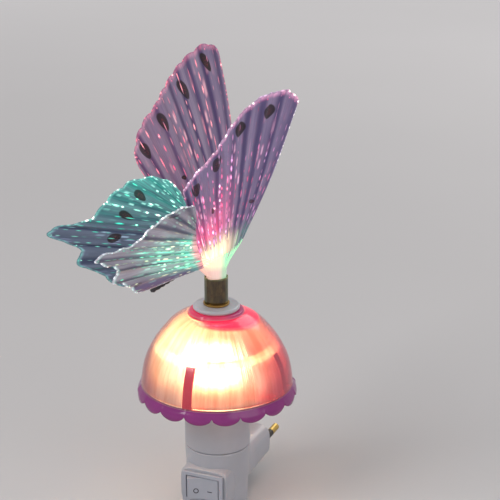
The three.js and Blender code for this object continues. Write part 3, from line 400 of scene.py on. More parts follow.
# Shade shell: clear plastic tinted in its depth, purple at the skirt, pink and purple round the collar, with
# painted light and shade: pinker to the right, greyer to the left, deeper pink at both edges, and a painted
# glow over the dome, the collar's band and ring, and the skirt
def shell_paint():
    paint = Paint("shade_shell")
    place = paint.place()
    x, y, z = paint.from_axis(place)
    right, front = toward(RIGHT, x, y), toward(FRONT, x, y)
    reach = paint.distance(x, y)
    aside = right / reach
    dome = z.span(SHADE_BASE - 0.1, SHADE_BASE + 0.3)
    ring = reach.span(FLAT_R + 0.6, FLAT_R - 0.2)
    # Painted light and shade: a hot pink band round the collar that glows and fades away to the left, deeper
    # pink at the right and left edges, pinker to the right and greyer to the left
    wide = paint.distance(right - 2.8, front)
    band_glow = wide.span(19.6, 18) * (1 - ring) * aside.span(-0.75, -0.1, 0.06, 1)
    right_limb_shade = right.span(24, 37) * dome
    left_limb_shade = right.span(-30, -39) * dome
    tint_and_painted_light = paint.layers(
        paint.mix(z.span(54, 80), rgb(246, 234, 220), rgb(255, 242, 234)),
        (paint.noise(place, 60, 2) * 0.4, rgb(250, 224, 214)),
        (right.span(10, 34), rgb(234, 178, 190)),
        (right.span(-26, -38), rgb(216, 190, 196)),
        (right_limb_shade * 0.75, rgb(212, 70, 104)),
        (left_limb_shade * 0.6, rgb(206, 130, 120)),
        (band_glow, rgb(250, 60, 104)),
        (ring, paint.mix(aside.span(0.1, 0.9), rgb(226, 54, 104), rgb(148, 48, 118))),
    )
    purple = paint.mix(paint.noise(place, 120), rgb(108, 38, 102), rgb(138, 50, 122))
    clear = dome * (1 - ring * 0.75) - (band_glow * 0.3 + right_limb_shade * 0.35 + left_limb_shade * 0.25)
    # Painted glow: the dome, most at the band and the ring, and the purple skirt give off light of their own
    glow = paint.mix(dome, rgb(150, 44, 112), paint.mix(band_glow, rgb(226, 84, 110), rgb(244, 44, 88)))
    shine = dome * ((band_glow + ring * 0.4) * 0.42 + 0.03) + (1 - dome) * 0.16
    fine = paint.noise(place, 700, 2)
    depth = paint.value("VolumeAbsorption", {"Color": (0.76, 0.36, 0.50, 1.0), "Density": 200})
    return paint.surface(
        paint.mix(dome, purple, tint_and_painted_light), 0.12 + fine * 0.06, fine, 0.01, glow=glow, strength=shine,
        volume=depth, Transmission_Weight=paint.math("MAXIMUM", clear, 0.12), IOR=1.45,
    )


def make_shell():
    lobes, segments, puff = 18, 288, 0.012
    shares = np.linspace(0, 1, 22)
    outer, inner = shade_offset(shares, 0), shade_offset(shares, SHELL_WALL)
    inner[0, 1] = SHADE_BASE
    skirt_out = [
        (SKIRT_R - SKIRT_FLARE * (1 - t) ** 1.6, SHADE_BASE - SKIRT_DEPTH * t)
        for t in (1, 0.75, 0.5, 0.25)
    ]
    skirt_in = [(radius - SHELL_WALL, height) for radius, height in reversed(skirt_out)]
    under = SHADE_TOP - SHELL_WALL
    flat = [
        (FLAT_R - 0.15, SHADE_TOP - 0.3), (FLAT_R - 0.6, SHADE_TOP), (HOLE_R, SHADE_TOP), (HOLE_R, under),
        (FLAT_R - 2, under),
    ]
    points, faces = turned([*skirt_out, *outer, *flat, *inner[::-1], *skirt_in], segments)
    plan = points[:, :2] - (0, AXIS_Y)
    lobe = np.sqrt(np.abs(np.sin(lobes / 2 * np.arctan2(plan[:, 0], -plan[:, 1]))))
    low = points[:, 2] < SHADE_BASE - 0.01
    share = (SHADE_BASE - points[:, 2]) / SKIRT_DEPTH
    points[low, 2] = (SHADE_BASE - share * SKIRT_DEPTH * (0.42 + 0.58 * lobe))[low]
    swell = 1 + puff * np.sin(np.pi * np.clip(share, 0, 1)) * lobe
    points[low, :2] = (plan * swell[:, None] + (0, AXIS_Y))[low]
    piece("shade_shell_skin", points, faces, "shade", ["shade_shell"], shell_paint())


make_shell()


# Shade liner: frosted diffuser with four slots for the carrier's legs, and a painted glow that stands in for
# the bulb's light through it: brightest at its ledge, with a painted hot spot, pool of light and shadow patch
def liner_paint():
    paint = Paint("shade_liner")
    x, y, z = paint.from_axis(paint.place())
    right, front = toward(RIGHT, x, y), toward(FRONT, x, y).span(0, 10)
    turn = paint.math("ARCTAN2", y, x)
    round_x, round_y = paint.math("COSINE", turn), paint.math("SINE", turn)
    fluted = paint.joined(round_x, round_y, z * 0.004)
    streak = paint.noise(fluted, 11, 4, 0.65)
    broad = paint.noise(fluted, 5, 2)
    ribs = paint.noise(paint.joined(round_x, round_y), 40, 1)
    # Painted glow: dimmer low down, brightest at and round the ledge, redder to the right
    low = z.span(52.5, 64)
    over = z - LEDGE_Z
    ledge = over.span(-0.7, 0.2) * over.span(2.4, 1.4)
    halo = over.span(-2.9, 0.1) * over.span(5.1, 1.8)
    above = over.span(1.1, 2.6)
    side = right.span(-24, 26)
    # Painted light and shade: a hot spot and a pool of light on the front, and a darker patch of shadow high
    # on the right
    painted_hot_spot = right.span(2, -10) * right.span(-33, -18) * z.span(58, 67) * z.span(90, 78) * front
    painted_light_pool = right.span(-23, -12) * right.span(28, 19) * z.span(52.6, 54.5) * z.span(76, 68) * front
    painted_shadow_patch = right.span(9, 10.5) * right.span(23.5, 22) * z.span(75.5, 76.5) * z.span(89.5, 87.5)
    left = paint.mix(low, rgb(206, 156, 140), rgb(240, 222, 156))
    tone = paint.layers(
        paint.mix(above, left, rgb(255, 214, 146)),
        (side, paint.mix(low, rgb(176, 84, 100), rgb(248, 156, 124))),
        (painted_shadow_patch * 0.6, rgb(236, 108, 96)),
        (halo * 0.6, rgb(255, 220, 156)),
        (ledge * 0.75, rgb(255, 236, 160)),
        (painted_hot_spot * 0.6, rgb(255, 248, 214)),
        (painted_light_pool * 0.5, rgb(255, 222, 160)),
    )
    body = low * 0.22 + 0.12 + above * side.span(0, 1, 0.2, 0) + painted_hot_spot * 0.45 + painted_light_pool * 0.24 + halo * 0.28
    flicker = streak.span(0.3, 0.7, 0.7, 1.2) + broad * 0.3 - 0.1
    frost = paint.mix(streak.span(0.35, 0.62), rgb(236, 206, 180), rgb(255, 248, 234))
    return paint.surface(
        frost, 0.36, ribs, 0.35, glow=tone, strength=(body * (1 - painted_shadow_patch * 0.25) + ledge * 0.8) * flicker,
        Transmission_Weight=0.9 - ledge * 0.5, IOR=1.35,
    )


def make_liner():
    inside = LINER_DEPTH + LINER_WALL
    ledge_top, ledge_width = LEDGE_Z + LEDGE_T, 2.4
    top = share_at(0, FLAT_R + 0.6, LINER_DEPTH)
    low, high = (share_at(1, height, inside) for height in (LEDGE_Z, ledge_top))
    outer = shade_offset(np.linspace(0, top, 22), LINER_DEPTH)
    upper = shade_offset(np.linspace(high, top, 11), inside)[::-1]
    lower = shade_offset(np.linspace(0, low, 12), inside)[::-1]
    outer[0, 1] = lower[-1, 1] = SHADE_BASE + 0.3
    edge = upper[-1, 0] - ledge_width
    ledge = [(edge, ledge_top), (edge - 0.25, (LEDGE_Z + ledge_top) / 2), (edge, LEDGE_Z)]
    points, faces = turned([*outer, *upper, *ledge, *lower], 160)
    made = piece("shade_liner_skin", points, faces, "shade", ["shade_liner"], liner_paint())
    slot_half, slot_reach, slot_low = 2.8, 44.0, SHADE_BASE - 4
    corners, sides = [], []
    for across, along in ((slot_half, slot_reach), (slot_reach, slot_half)):
        sides += [tuple(len(corners) + i for i in face) for face in capped_faces(2, 4)]
        corners += [
            (right * across, front * along + AXIS_Y, height)
            for height in (slot_low, LEDGE_Z) for right, front in SQUARE
        ]
    cutter = solid("slots", corners, sides)
    cut = made.modifiers.new("slots", "BOOLEAN")
    cut.operation, cut.solver, cut.object, cut.use_self = "DIFFERENCE", "EXACT", cutter, True
    bpy.context.view_layer.update()
    done = bpy.data.meshes.new_from_object(made.evaluated_get(bpy.context.evaluated_depsgraph_get()))
    made.modifiers.clear()
    made.data = done
    bpy.data.objects.remove(cutter)


make_liner()


# Butterfly: the body's line and its own directions, and the fan below it, as in the model
HEADING, PITCH = math.radians(39.4), math.radians(27.9)
FORWARD = np.array([
    math.cos(PITCH) * math.cos(HEADING), math.cos(PITCH) * math.sin(HEADING), math.sin(PITCH),
])
SIDEWAYS = np.array([-math.sin(HEADING), math.cos(HEADING), 0.0])
UPWARDS = np.cross(FORWARD, SIDEWAYS)
BODY = np.array([-4.3, AXIS_Y - 2.1, SHADE_TOP + 28.2])
BUNDLE_R, BUNDLE_LOW, FILM_LOW, FILM_TOP = 4.85, SHADE_TOP - 7.3, SHADE_TOP + 4, SHADE_TOP + 17.8
FAN_FORE, FAN_HIND, FAN_SIDE, FAN_UNDER, FAN_SIDES = 12.4, 8.0, 6.6, 1.2, 64

# Cloth: its folds, the scallops of its margin, its sag and thickness, and its roots under the body's line
FOLD, SCALLOP, SAG, CLOTH_T = 1.25, 1.5, 0.3, 0.45
ROOT_UNDER, ROOT_RISE = 1.6, 5.0

# Outlines of the wings, as shares of their span
FORE = {
    "span": 93.0, "pleats": 11, "lean": 0.42,
    "root": ((0.215, 0), (-0.054, 0)),
    "margin": (
        (0.7, 0.88), (0.703, 0.93), (0.67, 0.985), (0.595, 0.997), (0.51, 0.988), (0.4, 0.935),
        (0.31, 0.862), (0.245, 0.805), (0.143, 0.745), (0.075, 0.69), (0.015, 0.61), (0.005, 0.51),
    ),
}
HIND = {
    "span": 57.0, "pleats": 12, "lean": -0.55,
    "root": ((0.12, 0.5), (0.05, 0.25), (-0.01, 0.05), (-0.06, 0.005), (-0.13, 0.005), (-0.2, 0.035)),
    "margin": (
        (0.14, 0.6), (0.1, 0.74), (-0.02, 0.86), (-0.2, 0.925), (-0.42, 0.91), (-0.58, 0.865),
        (-0.72, 0.9), (-0.88, 0.985), (-0.985, 0.99), (-0.93, 0.88), (-0.84, 0.735),
        (-0.86, 0.67), (-0.92, 0.6), (-0.83, 0.465), (-0.79, 0.34), (-0.735, 0.22),
    ),
}
HIND_NEAR = dict(
    HIND,
    root=(
        (0.02, 0.72), (-0.012, 0.611), (-0.044, 0.487), (-0.067, 0.352), (-0.075, 0.231), (-0.076, 0.12),
        (-0.08, -0.01),
    ),
    margin=((0.04, 0.815), (-0.06, 0.885), *HIND["margin"][3:]),
)

# Each wing: its place beside the body, three angles, then how its outline spreads, bows, waves and gathers
Wing = namedtuple("Wing", "name kind hinge dihedral sweep twist spread bow crown gather")
WINGS = (
    Wing("wing_fore_far", FORE, 5.3, 62, -2.4, 2, 1.14, 3.6, -3.8, 1),
    Wing("wing_fore_near", FORE, -4.2, 63, 2.4, -12.7, 0.96, 1.8, 4, 1),
    Wing("wing_hind_far", HIND, 3.3, 69, -5.5, -1, 1.05, 0, 0, 1.2),
    Wing("wing_hind_near", HIND_NEAR, -6.2, 57, 5.5, 7.9, 0.95, 0, 0, 0.72),
)

# Dark drops on each wing: place, half length, half width, lean and how dark
SPOTS = {
    "wing_fore_far": (
        (55.7, 80.9, 5.5, 1.8, -11, 0.97), (38.3, 75.5, 5.7, 2.1, -8, 0.92), (21.6, 67.4, 5.4, 1.9, -8, 0.92),
        (7.5, 60.0, 4.7, 2.0, -8, 0.9), (13.4, 37.6, 1.3, 1.0, 5, 0.95), (6.0, 31.9, 1.1, 1.0, 6, 0.95),
    ),
    "wing_fore_near": (
        (51.6, 85.1, 4.6, 2.6, -26, 0.9), (36.6, 81.1, 4.8, 2.4, -24, 0.9), (20.9, 64.8, 5.4, 1.8, -27, 0.8),
        (7.0, 52.7, 4.4, 1.9, -21, 0.85), (10.7, 33.8, 2.2, 1.0, -7, 0.85), (29.2, 30.8, 1.4, 1.1, -38, 0.7),
    ),
    "wing_hind_far": (
        (-8.9, 43.5, 3.6, 1.9, 12, 0.92), (-19.9, 39.6, 4.0, 1.9, 26, 0.95),
        (-30.8, 34.3, 3.6, 2.1, 72, 0.95),
    ),
    "wing_hind_near": ((-10.3, 49.4, 3.2, 0.7, 81, 0.55), (-41.2, 20.3, 2.4, 1.9, 81, 0.5)),
}


# Points of a wing at shares across its fan and out from its root, and their places on its flat outline
def wing_points(wing, across, share):
    kind, hinge = wing.kind, wing.hinge
    side = math.copysign(1, hinge)
    tilt, turn, roll = (math.radians(value) for value in (wing.dihedral, wing.sweep, wing.twist))
    span, pleats = kind["span"], kind["pleats"]
    fore = kind is FORE
    out = SIDEWAYS * side * math.cos(tilt) + UPWARDS * math.sin(tilt)
    normal = -SIDEWAYS * side * math.sin(tilt) + UPWARDS * math.cos(tilt)
    edge = FORWARD * math.cos(roll) + normal * math.sin(roll)
    rise = math.sin(tilt) * math.cos(turn) + math.sin(turn) * math.sin(roll) * math.cos(tilt)
    slope = math.cos(turn) * math.sin(roll) * math.cos(tilt) - math.sin(turn) * math.sin(tilt)
    root = even_curve(np.array(kind["root"]) * span, across ** wing.gather)
    root[..., 1] += (-ROOT_UNDER - root[..., 0] * slope) / rise
    if fore:
        root[..., 1] += ROOT_RISE * np.maximum(0, 1 - across * 3) ** 2
    end = even_curve(np.array(kind["margin"]) * span, across)
    scallop = SCALLOP * (np.abs(np.sin(math.pi * pleats * across)) ** 0.9 - 0.85)
    end = end + unit(end - root) * (scallop + wing.crown * np.sin(2 * math.pi * across))[..., None]
    flat = root + (end - root) * share[..., None]
    cut = flat.copy()
    middle = kind["lean"] * flat[..., 1]
    opened = np.where(flat[..., 0] < middle, wing.spread, 1.0) if fore else wing.spread
    bow = wing.bow * np.sin(math.pi * share) * (1 - across) ** 2
    flat[..., 0] = middle + (flat[..., 0] - middle) * opened + bow
    phase = 2 * math.pi * pleats * across
    wave = np.cos(phase + 0.45 * np.sin(3.1 * phase / pleats + hinge))
    fold = FOLD * (0.25 + 0.75 * share) * np.sign(wave) * np.abs(wave) ** 0.7 / 2
    droop = SAG * np.sin(7.0 * share + 5.0 * across + hinge) * share
    a = flat[..., 0] * math.cos(turn) + flat[..., 1] * math.sin(turn)
    b = -flat[..., 0] * math.sin(turn) + flat[..., 1] * math.cos(turn)
    place = BODY + SIDEWAYS * hinge + a[..., None] * edge + b[..., None] * out
    return place + (fold + droop)[..., None] * normal, cut


# Short strokes of light in columns, each with its own length, place and power
def strokes(paint, u, v, columns, rows, fill):
    line = u * columns
    column = paint.math("FLOOR", line)
    first, second = paint.chance(column, 1.7), paint.chance(column, 8.3)
    run = v * rows * (0.7 + first * 0.6) + second * 9.0
    step, inside = paint.math("FLOOR", run), paint.math("FRACT", run)
    power = paint.chance(column, step, 3.1).span(1.0 - fill, 1)
    middle = paint.math("ABSOLUTE", paint.math("FRACT", line) - 0.5)
    return power * (inside.span(0, 0.25) * inside.span(1, 0.6)) * middle.span(0.34, 0.08)


# What 1 stands for in the map of a wing's flat outline, and how far its threads are apart
MAP_UNIT, THREAD = 100.0, 0.55


# Wing cloth: folds with painted shade in their creases, fine ribs, dark drops, and light that leaks along the
# fibres
def wing_paint(name, kind, tones, light, hem, stain=0.0):
    paint = Paint(f"wing_cloth_{name}")
    u, v, _ = paint.map("fan")
    x, y, _ = (value * MAP_UNIT for value in paint.map("cut"))
    pleats = kind["pleats"]
    phase = u * pleats + (paint.noise(paint.joined(u * 3, v * 2), 1, 2) - 0.5) * 0.5
    number, within = paint.math("FLOOR", phase), paint.math("FRACT", phase)
    power = paint.chance(number, 4.4).span(0.1, 0.9, 0.15, 1)
    # Painted shade: darker in the crease of each pleat
    crease_shade = within.span(0.25, 0.52) * within.span(0.86, 0.62)
    rib = paint.noise(paint.joined(u * (pleats * 9), v * 2.5), 1, 3, 0.6)
    wide = paint.noise(paint.joined(u * 7, v * 2.4), 1, 2)
    drops = core = 0
    for spot_x, spot_y, long, half, lean, dark in SPOTS[name]:
        turn = math.radians(lean)
        dx, dy = x - spot_x, y - spot_y
        along = dy * math.cos(turn) - dx * math.sin(turn)
        across = dx * math.cos(turn) + dy * math.sin(turn)
        first, second = along / long, across / (half + along * (0.3 * half / long))
        away = first * first + second * second
        drops = paint.math("MAXIMUM", away.span(1.2, 0.8) * dark, drops)
        core = paint.math("MAXIMUM", away.span(0.4, 0.1), core)
    speck = paint.noise(paint.joined(x, y), 1.2, 3)
    ink = paint.mix(core * speck.span(0.4, 0.7), rgb(44, 32, 36), rgb(104, 44, 46))
    shade = wide * 0.7 + rib * 0.5 + paint.chance(number, 9.9) * 0.15 - 0.15
    colour = paint.layers(
        paint.ramp(shade, [(0.2, tones[1]), (0.75, tones[2])]),
        (crease_shade * power * 0.9, tones[0]),
        (u.span(0.84, 0.95, 0, stain), rgb(118, 98, 144)),
        (drops, ink),
    )
    edge = v.span(0.962, 0.995)
    beads = paint.noise(paint.joined(u * 60, 3), 1, 2, 0.8)
    glow, tone = light(paint, u, v, rib)
    lit = glow * (1 - drops * 0.9) + edge * hem[0] * beads.span(0.3, 0.7, 0.3, 1.3)
    thread = 2 * math.pi / THREAD
    weave = paint.math("SINE", x * thread) * paint.math("SINE", y * thread) * 0.25
    return paint.surface(
        colour, 0.6 + rib * 0.25, weave + rib, 0.08, glow=paint.mix(edge, tone, hem[1]), strength=lit,
        Sheen_Weight=0.3, Sheen_Roughness=0.4, Specular_IOR_Level=0.35,
    )


# Each wing's light, as its strength and its colour: u goes across the fan, v out from the root
def light_fore_far(paint, u, v, rib):
    marks = strokes(paint, u, v, 26, 9, 0.4)
    reach = v.span(0.97, 0.8) * u.span(0.02, 0.2)
    root, haze = v.span(0.4, 0.05) * 0.25, u.span(0.4, 0.7) * 0.05
    glow = marks * reach * 0.6 + root + haze + rib.span(0.5, 0.75) * reach * 0.06
    return glow, paint.mix(marks, rgb(226, 86, 112), rgb(252, 186, 184))


def light_fore_near(paint, u, v, rib):
    marks = strokes(paint, u, v, 30, 9, 0.5)
    thick = strokes(paint, u + 0.013, v, 40, 6, 0.75)
    hot = u.span(0.33, 0.58) * v.span(0.62, 0.3)
    upper = v.span(0.95, 0.7) * u.span(0.05, 0.3, 0.35, 1)
    blush = u.span(0.3, 0.6) * v.span(1, 0.35)
    root = v.span(0.22, 0.04) * u.span(0.1, 0.5, 0.12, 0.8)
    glow = blush * 0.1 + marks * upper * 0.7 + hot * thick * 1.5 + hot * rib.span(0.3, 0.7, 0.2, 0.75) + root
    return glow, paint.layers(
        paint.mix(marks, rgb(226, 84, 136), rgb(252, 190, 214)),
        (hot, rgb(250, 70, 112)),
        (hot * thick.span(0.45, 0.9), rgb(255, 196, 204)),
        (v.span(0.3, 0.12), paint.mix(u.span(0.12, 0.4), rgb(120, 226, 170), rgb(255, 226, 170))),
    )


def light_hind_far(paint, u, v, rib):
    marks = strokes(paint, u, v, 40, 10, 0.4)
    front = u.span(0.55, 0.12)
    margin = front * v.span(0.55, 0.95)
    glow = marks * u.span(0.9, 0.4, 0.22, 0.75) + front * rib.span(0.3, 0.75, 0.12, 0.55) + margin * 0.14
    return glow, paint.layers(
        rgb(34, 206, 176), (marks * 0.8, rgb(186, 255, 236)), (u.span(0.45, 0.65), rgb(170, 176, 216)),
    )


def light_hind_near(paint, u, v, rib):
    marks = strokes(paint, u, v, 34, 9, 0.5)
    thick = strokes(paint, u + 0.007, v, 24, 3.5, 0.7)
    teal = u.span(0.2, 0.4) * u.span(0.96, 0.84) * v.span(0.8, 0.4)
    root = v.span(0.3, 0.05) * u.span(0.1, 0.4) * 0.35
    glow = marks * (0.3 + teal * 0.6) + teal * thick * 1.2 + teal * rib.span(0.4, 0.75, 0.1, 0.85) + root
    return glow, paint.layers(
        rgb(40, 214, 168), (marks * 0.75, rgb(206, 255, 236)), (v.span(0.12, 0.02), rgb(250, 150, 140)),
    )


# Cloth tones: the painted shade in the creases, then the cloth's darker and lighter tones
LAVENDER = (rgb(76, 62, 106), rgb(108, 92, 128), rgb(154, 140, 162))
VIOLET = (rgb(88, 78, 130), rgb(132, 116, 162), rgb(176, 160, 198))
SLATE = (rgb(58, 66, 96), rgb(82, 94, 118), rgb(116, 126, 146))
GREYED = (rgb(78, 84, 112), rgb(132, 130, 150), rgb(206, 200, 212))
CLOTHS = {row[0]: wing_paint(*row) for row in (
    ("wing_fore_far", FORE, LAVENDER, light_fore_far, (0.4, rgb(236, 118, 140))),
    ("wing_fore_near", FORE, VIOLET, light_fore_near, (0.55, rgb(248, 170, 196))),
    ("wing_hind_far", HIND, SLATE, light_hind_far, (0.4, rgb(120, 232, 206))),
    ("wing_hind_near", HIND_NEAR, GREYED, light_hind_near, (0.6, rgb(222, 244, 240)), 0.85),
)}


def make_wing(wing):
    columns, rows = wing.kind["pleats"] * 12 + 1, 34
    across, share = np.meshgrid(np.linspace(0, 1, columns), np.linspace(0, 1, rows))
    points, cut = wing_points(wing, across, share)
    cut = cut.reshape(-1, 2)
    maps = {"fan": np.stack([across.ravel(), share.ravel()], -1), "cut": cut / MAP_UNIT}
    made = piece(
        f"{wing.name}_cloth", points.reshape(-1, 3), grid_faces(rows, columns), "butterfly",
        [wing.name], CLOTHS[wing.name], maps,
    )
    thick = made.modifiers.new("thickness", "SOLIDIFY")
    thick.thickness, thick.offset = CLOTH_T * MM, 0
    crossed = np.cross(points[1:, 1:] - points[:-1, :-1], points[:-1, 1:] - points[1:, :-1])
    size = [float(length) for length in np.ptp(cut, axis=0) * MM]


for each in WINGS:
    make_wing(each)


# Light fibres: strands the colour of the cloth, with bright runs where light leaks out
def fibre_paint(name, dull, cool, warm, strength):
    paint = Paint(name)
    bead, shift, _ = paint.map("fibre")
    tone = paint.layers(cool, (shift, warm), (bead.span(0.62, 1), rgb(255, 240, 240)))
    fleck = paint.noise(paint.place(), 1200, 1)
    lit = paint.math("POWER", bead, 1.3) * strength * (0.75 + fleck * 0.5)
    return paint.surface(paint.mix(bead, dull, tone), 0.3, fleck, 0.01, glow=tone, strength=lit, IOR=1.49)


# Per wing: count of fibres, dull, cool and warm colours
FIBRES = {
    "wing_fore_far": (14, rgb(124, 108, 144), rgb(240, 84, 120), rgb(250, 150, 156)),
    "wing_fore_near": (18, rgb(124, 108, 144), rgb(250, 84, 140), rgb(236, 170, 230)),
    "wing_hind_far": (17, rgb(84, 94, 122), rgb(52, 222, 186), rgb(170, 250, 226)),
    "wing_hind_near": (17, rgb(130, 124, 142), rgb(80, 232, 190), rgb(240, 244, 206)),
}


# How bright a fibre is at a share across its wing and out from the root
def fibre_power(name, across, share):
    if name == "wing_fore_far":
        return (0.36 if across < 0.16 else 0.8) * np.clip((share - 0.12) / 0.1, 0, 1)
    if name == "wing_fore_near":
        fading = np.where(share > 0.75, 0.55, 1.0) * np.clip((share - 0.1) / 0.1, 0, 1)
        return (1.0 if across > 0.4 else 0.5) * fading
    if name == "wing_hind_far":
        return (1.0 if across < 0.45 else 0.42) * np.where(share > 0.25, 1.0, 0.6)
    return (0.95 if 0.3 < across < 0.9 else 0.5) * np.where(share > 0.6, 0.55, 1.0)


# A rise and fall about one place along a run
def bump(run, place, long, power=2):
    return np.exp(-(np.abs((run - place) / long) ** power))


# One strand along a wing, swollen where it glows
def strand(wing, across, rng):
    count = 150
    share = np.linspace(0.02, 0.975, count)
    path, _ = wing_points(wing, np.full(count, across), share)
    run = run_along(path)
    bead = np.zeros(count)
    place = rng.uniform(1, 9)
    while place < run[-1] - 1:
        long = rng.uniform(1.1, 3.2) * (1.0 if wing.kind is FORE else 0.7)
        power = rng.uniform(0.25, 1.0) / long ** 0.25
        bead = np.maximum(bead, power * bump(run, place, long, 3))
        place += rng.uniform(2.0, 8.0) + 1.3 * long
    bead = bead * fibre_power(wing.name, across, share)
    bead = np.maximum(bead, 0.6 * bump(run, run[-1], 0.7) * rng.uniform(0.2, 1.0))
    shift = np.clip(rng.uniform(0, 1) + 0.3 * np.sin(run / 9), 0, 1)
    return path, 0.2 + 0.33 * bead ** 0.6, np.stack([bead, shift], -1)


# The fibres on every wing, and where each one starts and heads, for its strand below
def make_fibres():
    starts = []
    rng = np.random.default_rng(7)
    for wing in WINGS:
        count, *colours = FIBRES[wing.name]
        runs = []
        for k in range(count):
            across = (k + 1 + rng.uniform(-0.25, 0.25)) / (count + 1)
            run = strand(wing, across, rng)
            path = run[0]
            runs.append(run)
            starts.append((wing.name, across, path[0], unit(path[3] - path[0])))
        material = fibre_paint(f"fibre_{wing.name}", *colours, strength=2.0)
        tubes_piece(f"{wing.name}_fibres", runs, 6, material)
    return starts


STARTS = make_fibres()

# Hem: a lit edge round each wing, with its dull, cool and warm colours
HEMS = {
    "wing_fore_far": (rgb(134, 112, 146), rgb(236, 104, 132), rgb(244, 130, 140)),
    "wing_fore_near": (rgb(160, 140, 172), rgb(250, 160, 184), rgb(216, 212, 252)),
    "wing_hind_far": (rgb(96, 112, 136), rgb(96, 226, 200), rgb(190, 246, 230)),
    "wing_hind_near": (rgb(184, 176, 188), rgb(204, 242, 232), rgb(240, 226, 252)),
}


# How bright the hem is, by wing and by place round its edge
def hem_power(name, across, share):
    leading, trailing = across < 0.001, across > 0.999
    sides = np.where(leading | trailing, 0.55, 1.0)
    if name == "wing_hind_far":
        return sides * np.where(across > 0.45, 0.5, 1.35)
    if name == "wing_fore_far":
        return np.where(leading, 1.0, sides * np.where(across < 0.16, 0.45, 1.1))
    if name == "wing_fore_near":
        return np.where(trailing, 0.4, np.where(leading, np.clip((share - 0.3) * 4, 0, 1.7), 1.4))
    return np.where(leading | trailing, 0.5, 1.4)


def make_hems():
    rng = np.random.default_rng(11)
    side, margin = np.linspace(0.12, 1, 120), np.linspace(0, 1, 280)
    for wing in WINGS:
        share = np.concatenate([side, np.ones_like(margin), side[::-1]])
        across = np.concatenate([np.zeros_like(side), margin, np.ones_like(side)])
        path, _ = wing_points(wing, across, share)
        keep = np.concatenate([[True], np.diff(run_along(path)) > 0.02])
        path, share, across = path[keep], share[keep], across[keep]
        run = run_along(path)
        bead = np.full(len(path), 0.12)
        place = 3.0
        while place < run[-1]:
            long = rng.uniform(0.4, 1.3)
            bead = np.maximum(bead, rng.uniform(0.15, 0.9) * bump(run, place, long))
            place += rng.uniform(1.5, 4.0)
        bead = bead * hem_power(wing.name, across, share)
        shift = np.clip(0.4 + 0.5 * (across < 0.001) + 0.2 * np.sin(run / 5), 0, 1)
        material = fibre_paint(f"hem_{wing.name}", *HEMS[wing.name], strength=1.1)
        rope = (path, 0.28 + 0.14 * bead, np.stack([bead, shift], -1))
        tubes_piece(f"{wing.name}_hem", [rope], 8, material)


make_hems()


# Fan of fibres: a glowing core that opens from a round bundle to the body's long oval
def fan_paint():
    paint = Paint("fibre_core")
    x, y, z = paint.from_axis(paint.place())
    x = x + 1.0
    right = toward(RIGHT, x, y)
    streak = paint.noise(paint.joined(paint.math("ARCTAN2", y, x) * 9, 0, z * 0.04), 2, 3, 0.7)
    rise = z.span(FILM_TOP + 3.2, FILM_TOP + 8.2)
    low = paint.layers(
        rgb(236, 156, 140),
        (right.span(-7, 1), rgb(252, 196, 182)),
        (right.span(2, 5), rgb(96, 206, 150)),
    )
    top = paint.layers(
        rgb(250, 90, 100),
        (right.span(-8, -3), rgb(255, 244, 178)),
        (right.span(2.5, 6), rgb(84, 236, 160)),
    )
    return paint.surface(
        rgb(228, 214, 204), 0.25, streak, 0.12, Coat_Weight=0.4, Coat_Roughness=0.1,
        glow=paint.layers(low, (rise, top), (streak.span(0.52, 0.75) * 0.6, rgb(255, 246, 232))),
        strength=0.3 + streak * 0.45 + rise * 0.25,
    )


FAN_PAINT = fan_paint()


# A ring of the fan at a share of the way from the film's top to the body
def fan_ring(share, scale=1.0):
    turn = full_turn(FAN_SIDES)
    low = about_axis(BUNDLE_R, turn + HEADING, FILM_TOP)
    length = np.where(np.cos(turn) > 0, FAN_FORE, FAN_HIND) * np.cos(turn)
    end = BODY + FORWARD * length[:, None] + SIDEWAYS * FAN_SIDE * np.sin(turn)[:, None] - UPWARDS * FAN_UNDER
    flare = share ** 1.15
    place = low + (end - low) * np.array([flare, flare, share])
    middle = place.mean(0)
    return middle + (place - middle) * scale


def make_fan():
    base = fan_ring(0)
    base[:, 2] = BUNDLE_LOW
    rings = [base] + [fan_ring(share, 1.07 - 0.1 * share) for share in np.linspace(0, 1, 14)]
    faces = capped_faces(len(rings), FAN_SIDES)
    piece("fibre_core", np.concatenate(rings), faces, "butterfly", ["fibre_bundle"], FAN_PAINT)


make_fan()


# Strands from the bundle up to each wing's fibres, but not to the near hindwing's that start at the forewing
def make_strands():
    rng = np.random.default_rng(3)
    runs = []
    for name, across, root, direction in STARTS:
        if name == "wing_hind_near" and across < 0.7:
            continue
        offset = root - BODY
        aside, along = offset @ SIDEWAYS, offset @ FORWARD
        turn = math.atan2(aside / FAN_SIDE, along / (FAN_FORE if along > 0 else FAN_HIND)) + HEADING
        radius = (BUNDLE_R - 0.1) * min(1.0, 0.55 + 0.5 * rng.uniform())
        start = about_axis(radius, turn, FILM_TOP - 1.7)
        reach = np.linalg.norm(root - start) * 0.42
        first, second = start + [0, 0, reach], root - direction * reach
        t = np.linspace(0, 1, 16)[:, None]
        path = (
            (1 - t) ** 3 * start + 3 * (1 - t) ** 2 * t * first
            + 3 * (1 - t) * t * t * second + t ** 3 * root
        )
        runs.append((path, 0.3, np.zeros((len(t), 2))))
    tubes_piece("fibre_strands", runs, 6, FAN_PAINT)


make_strands()


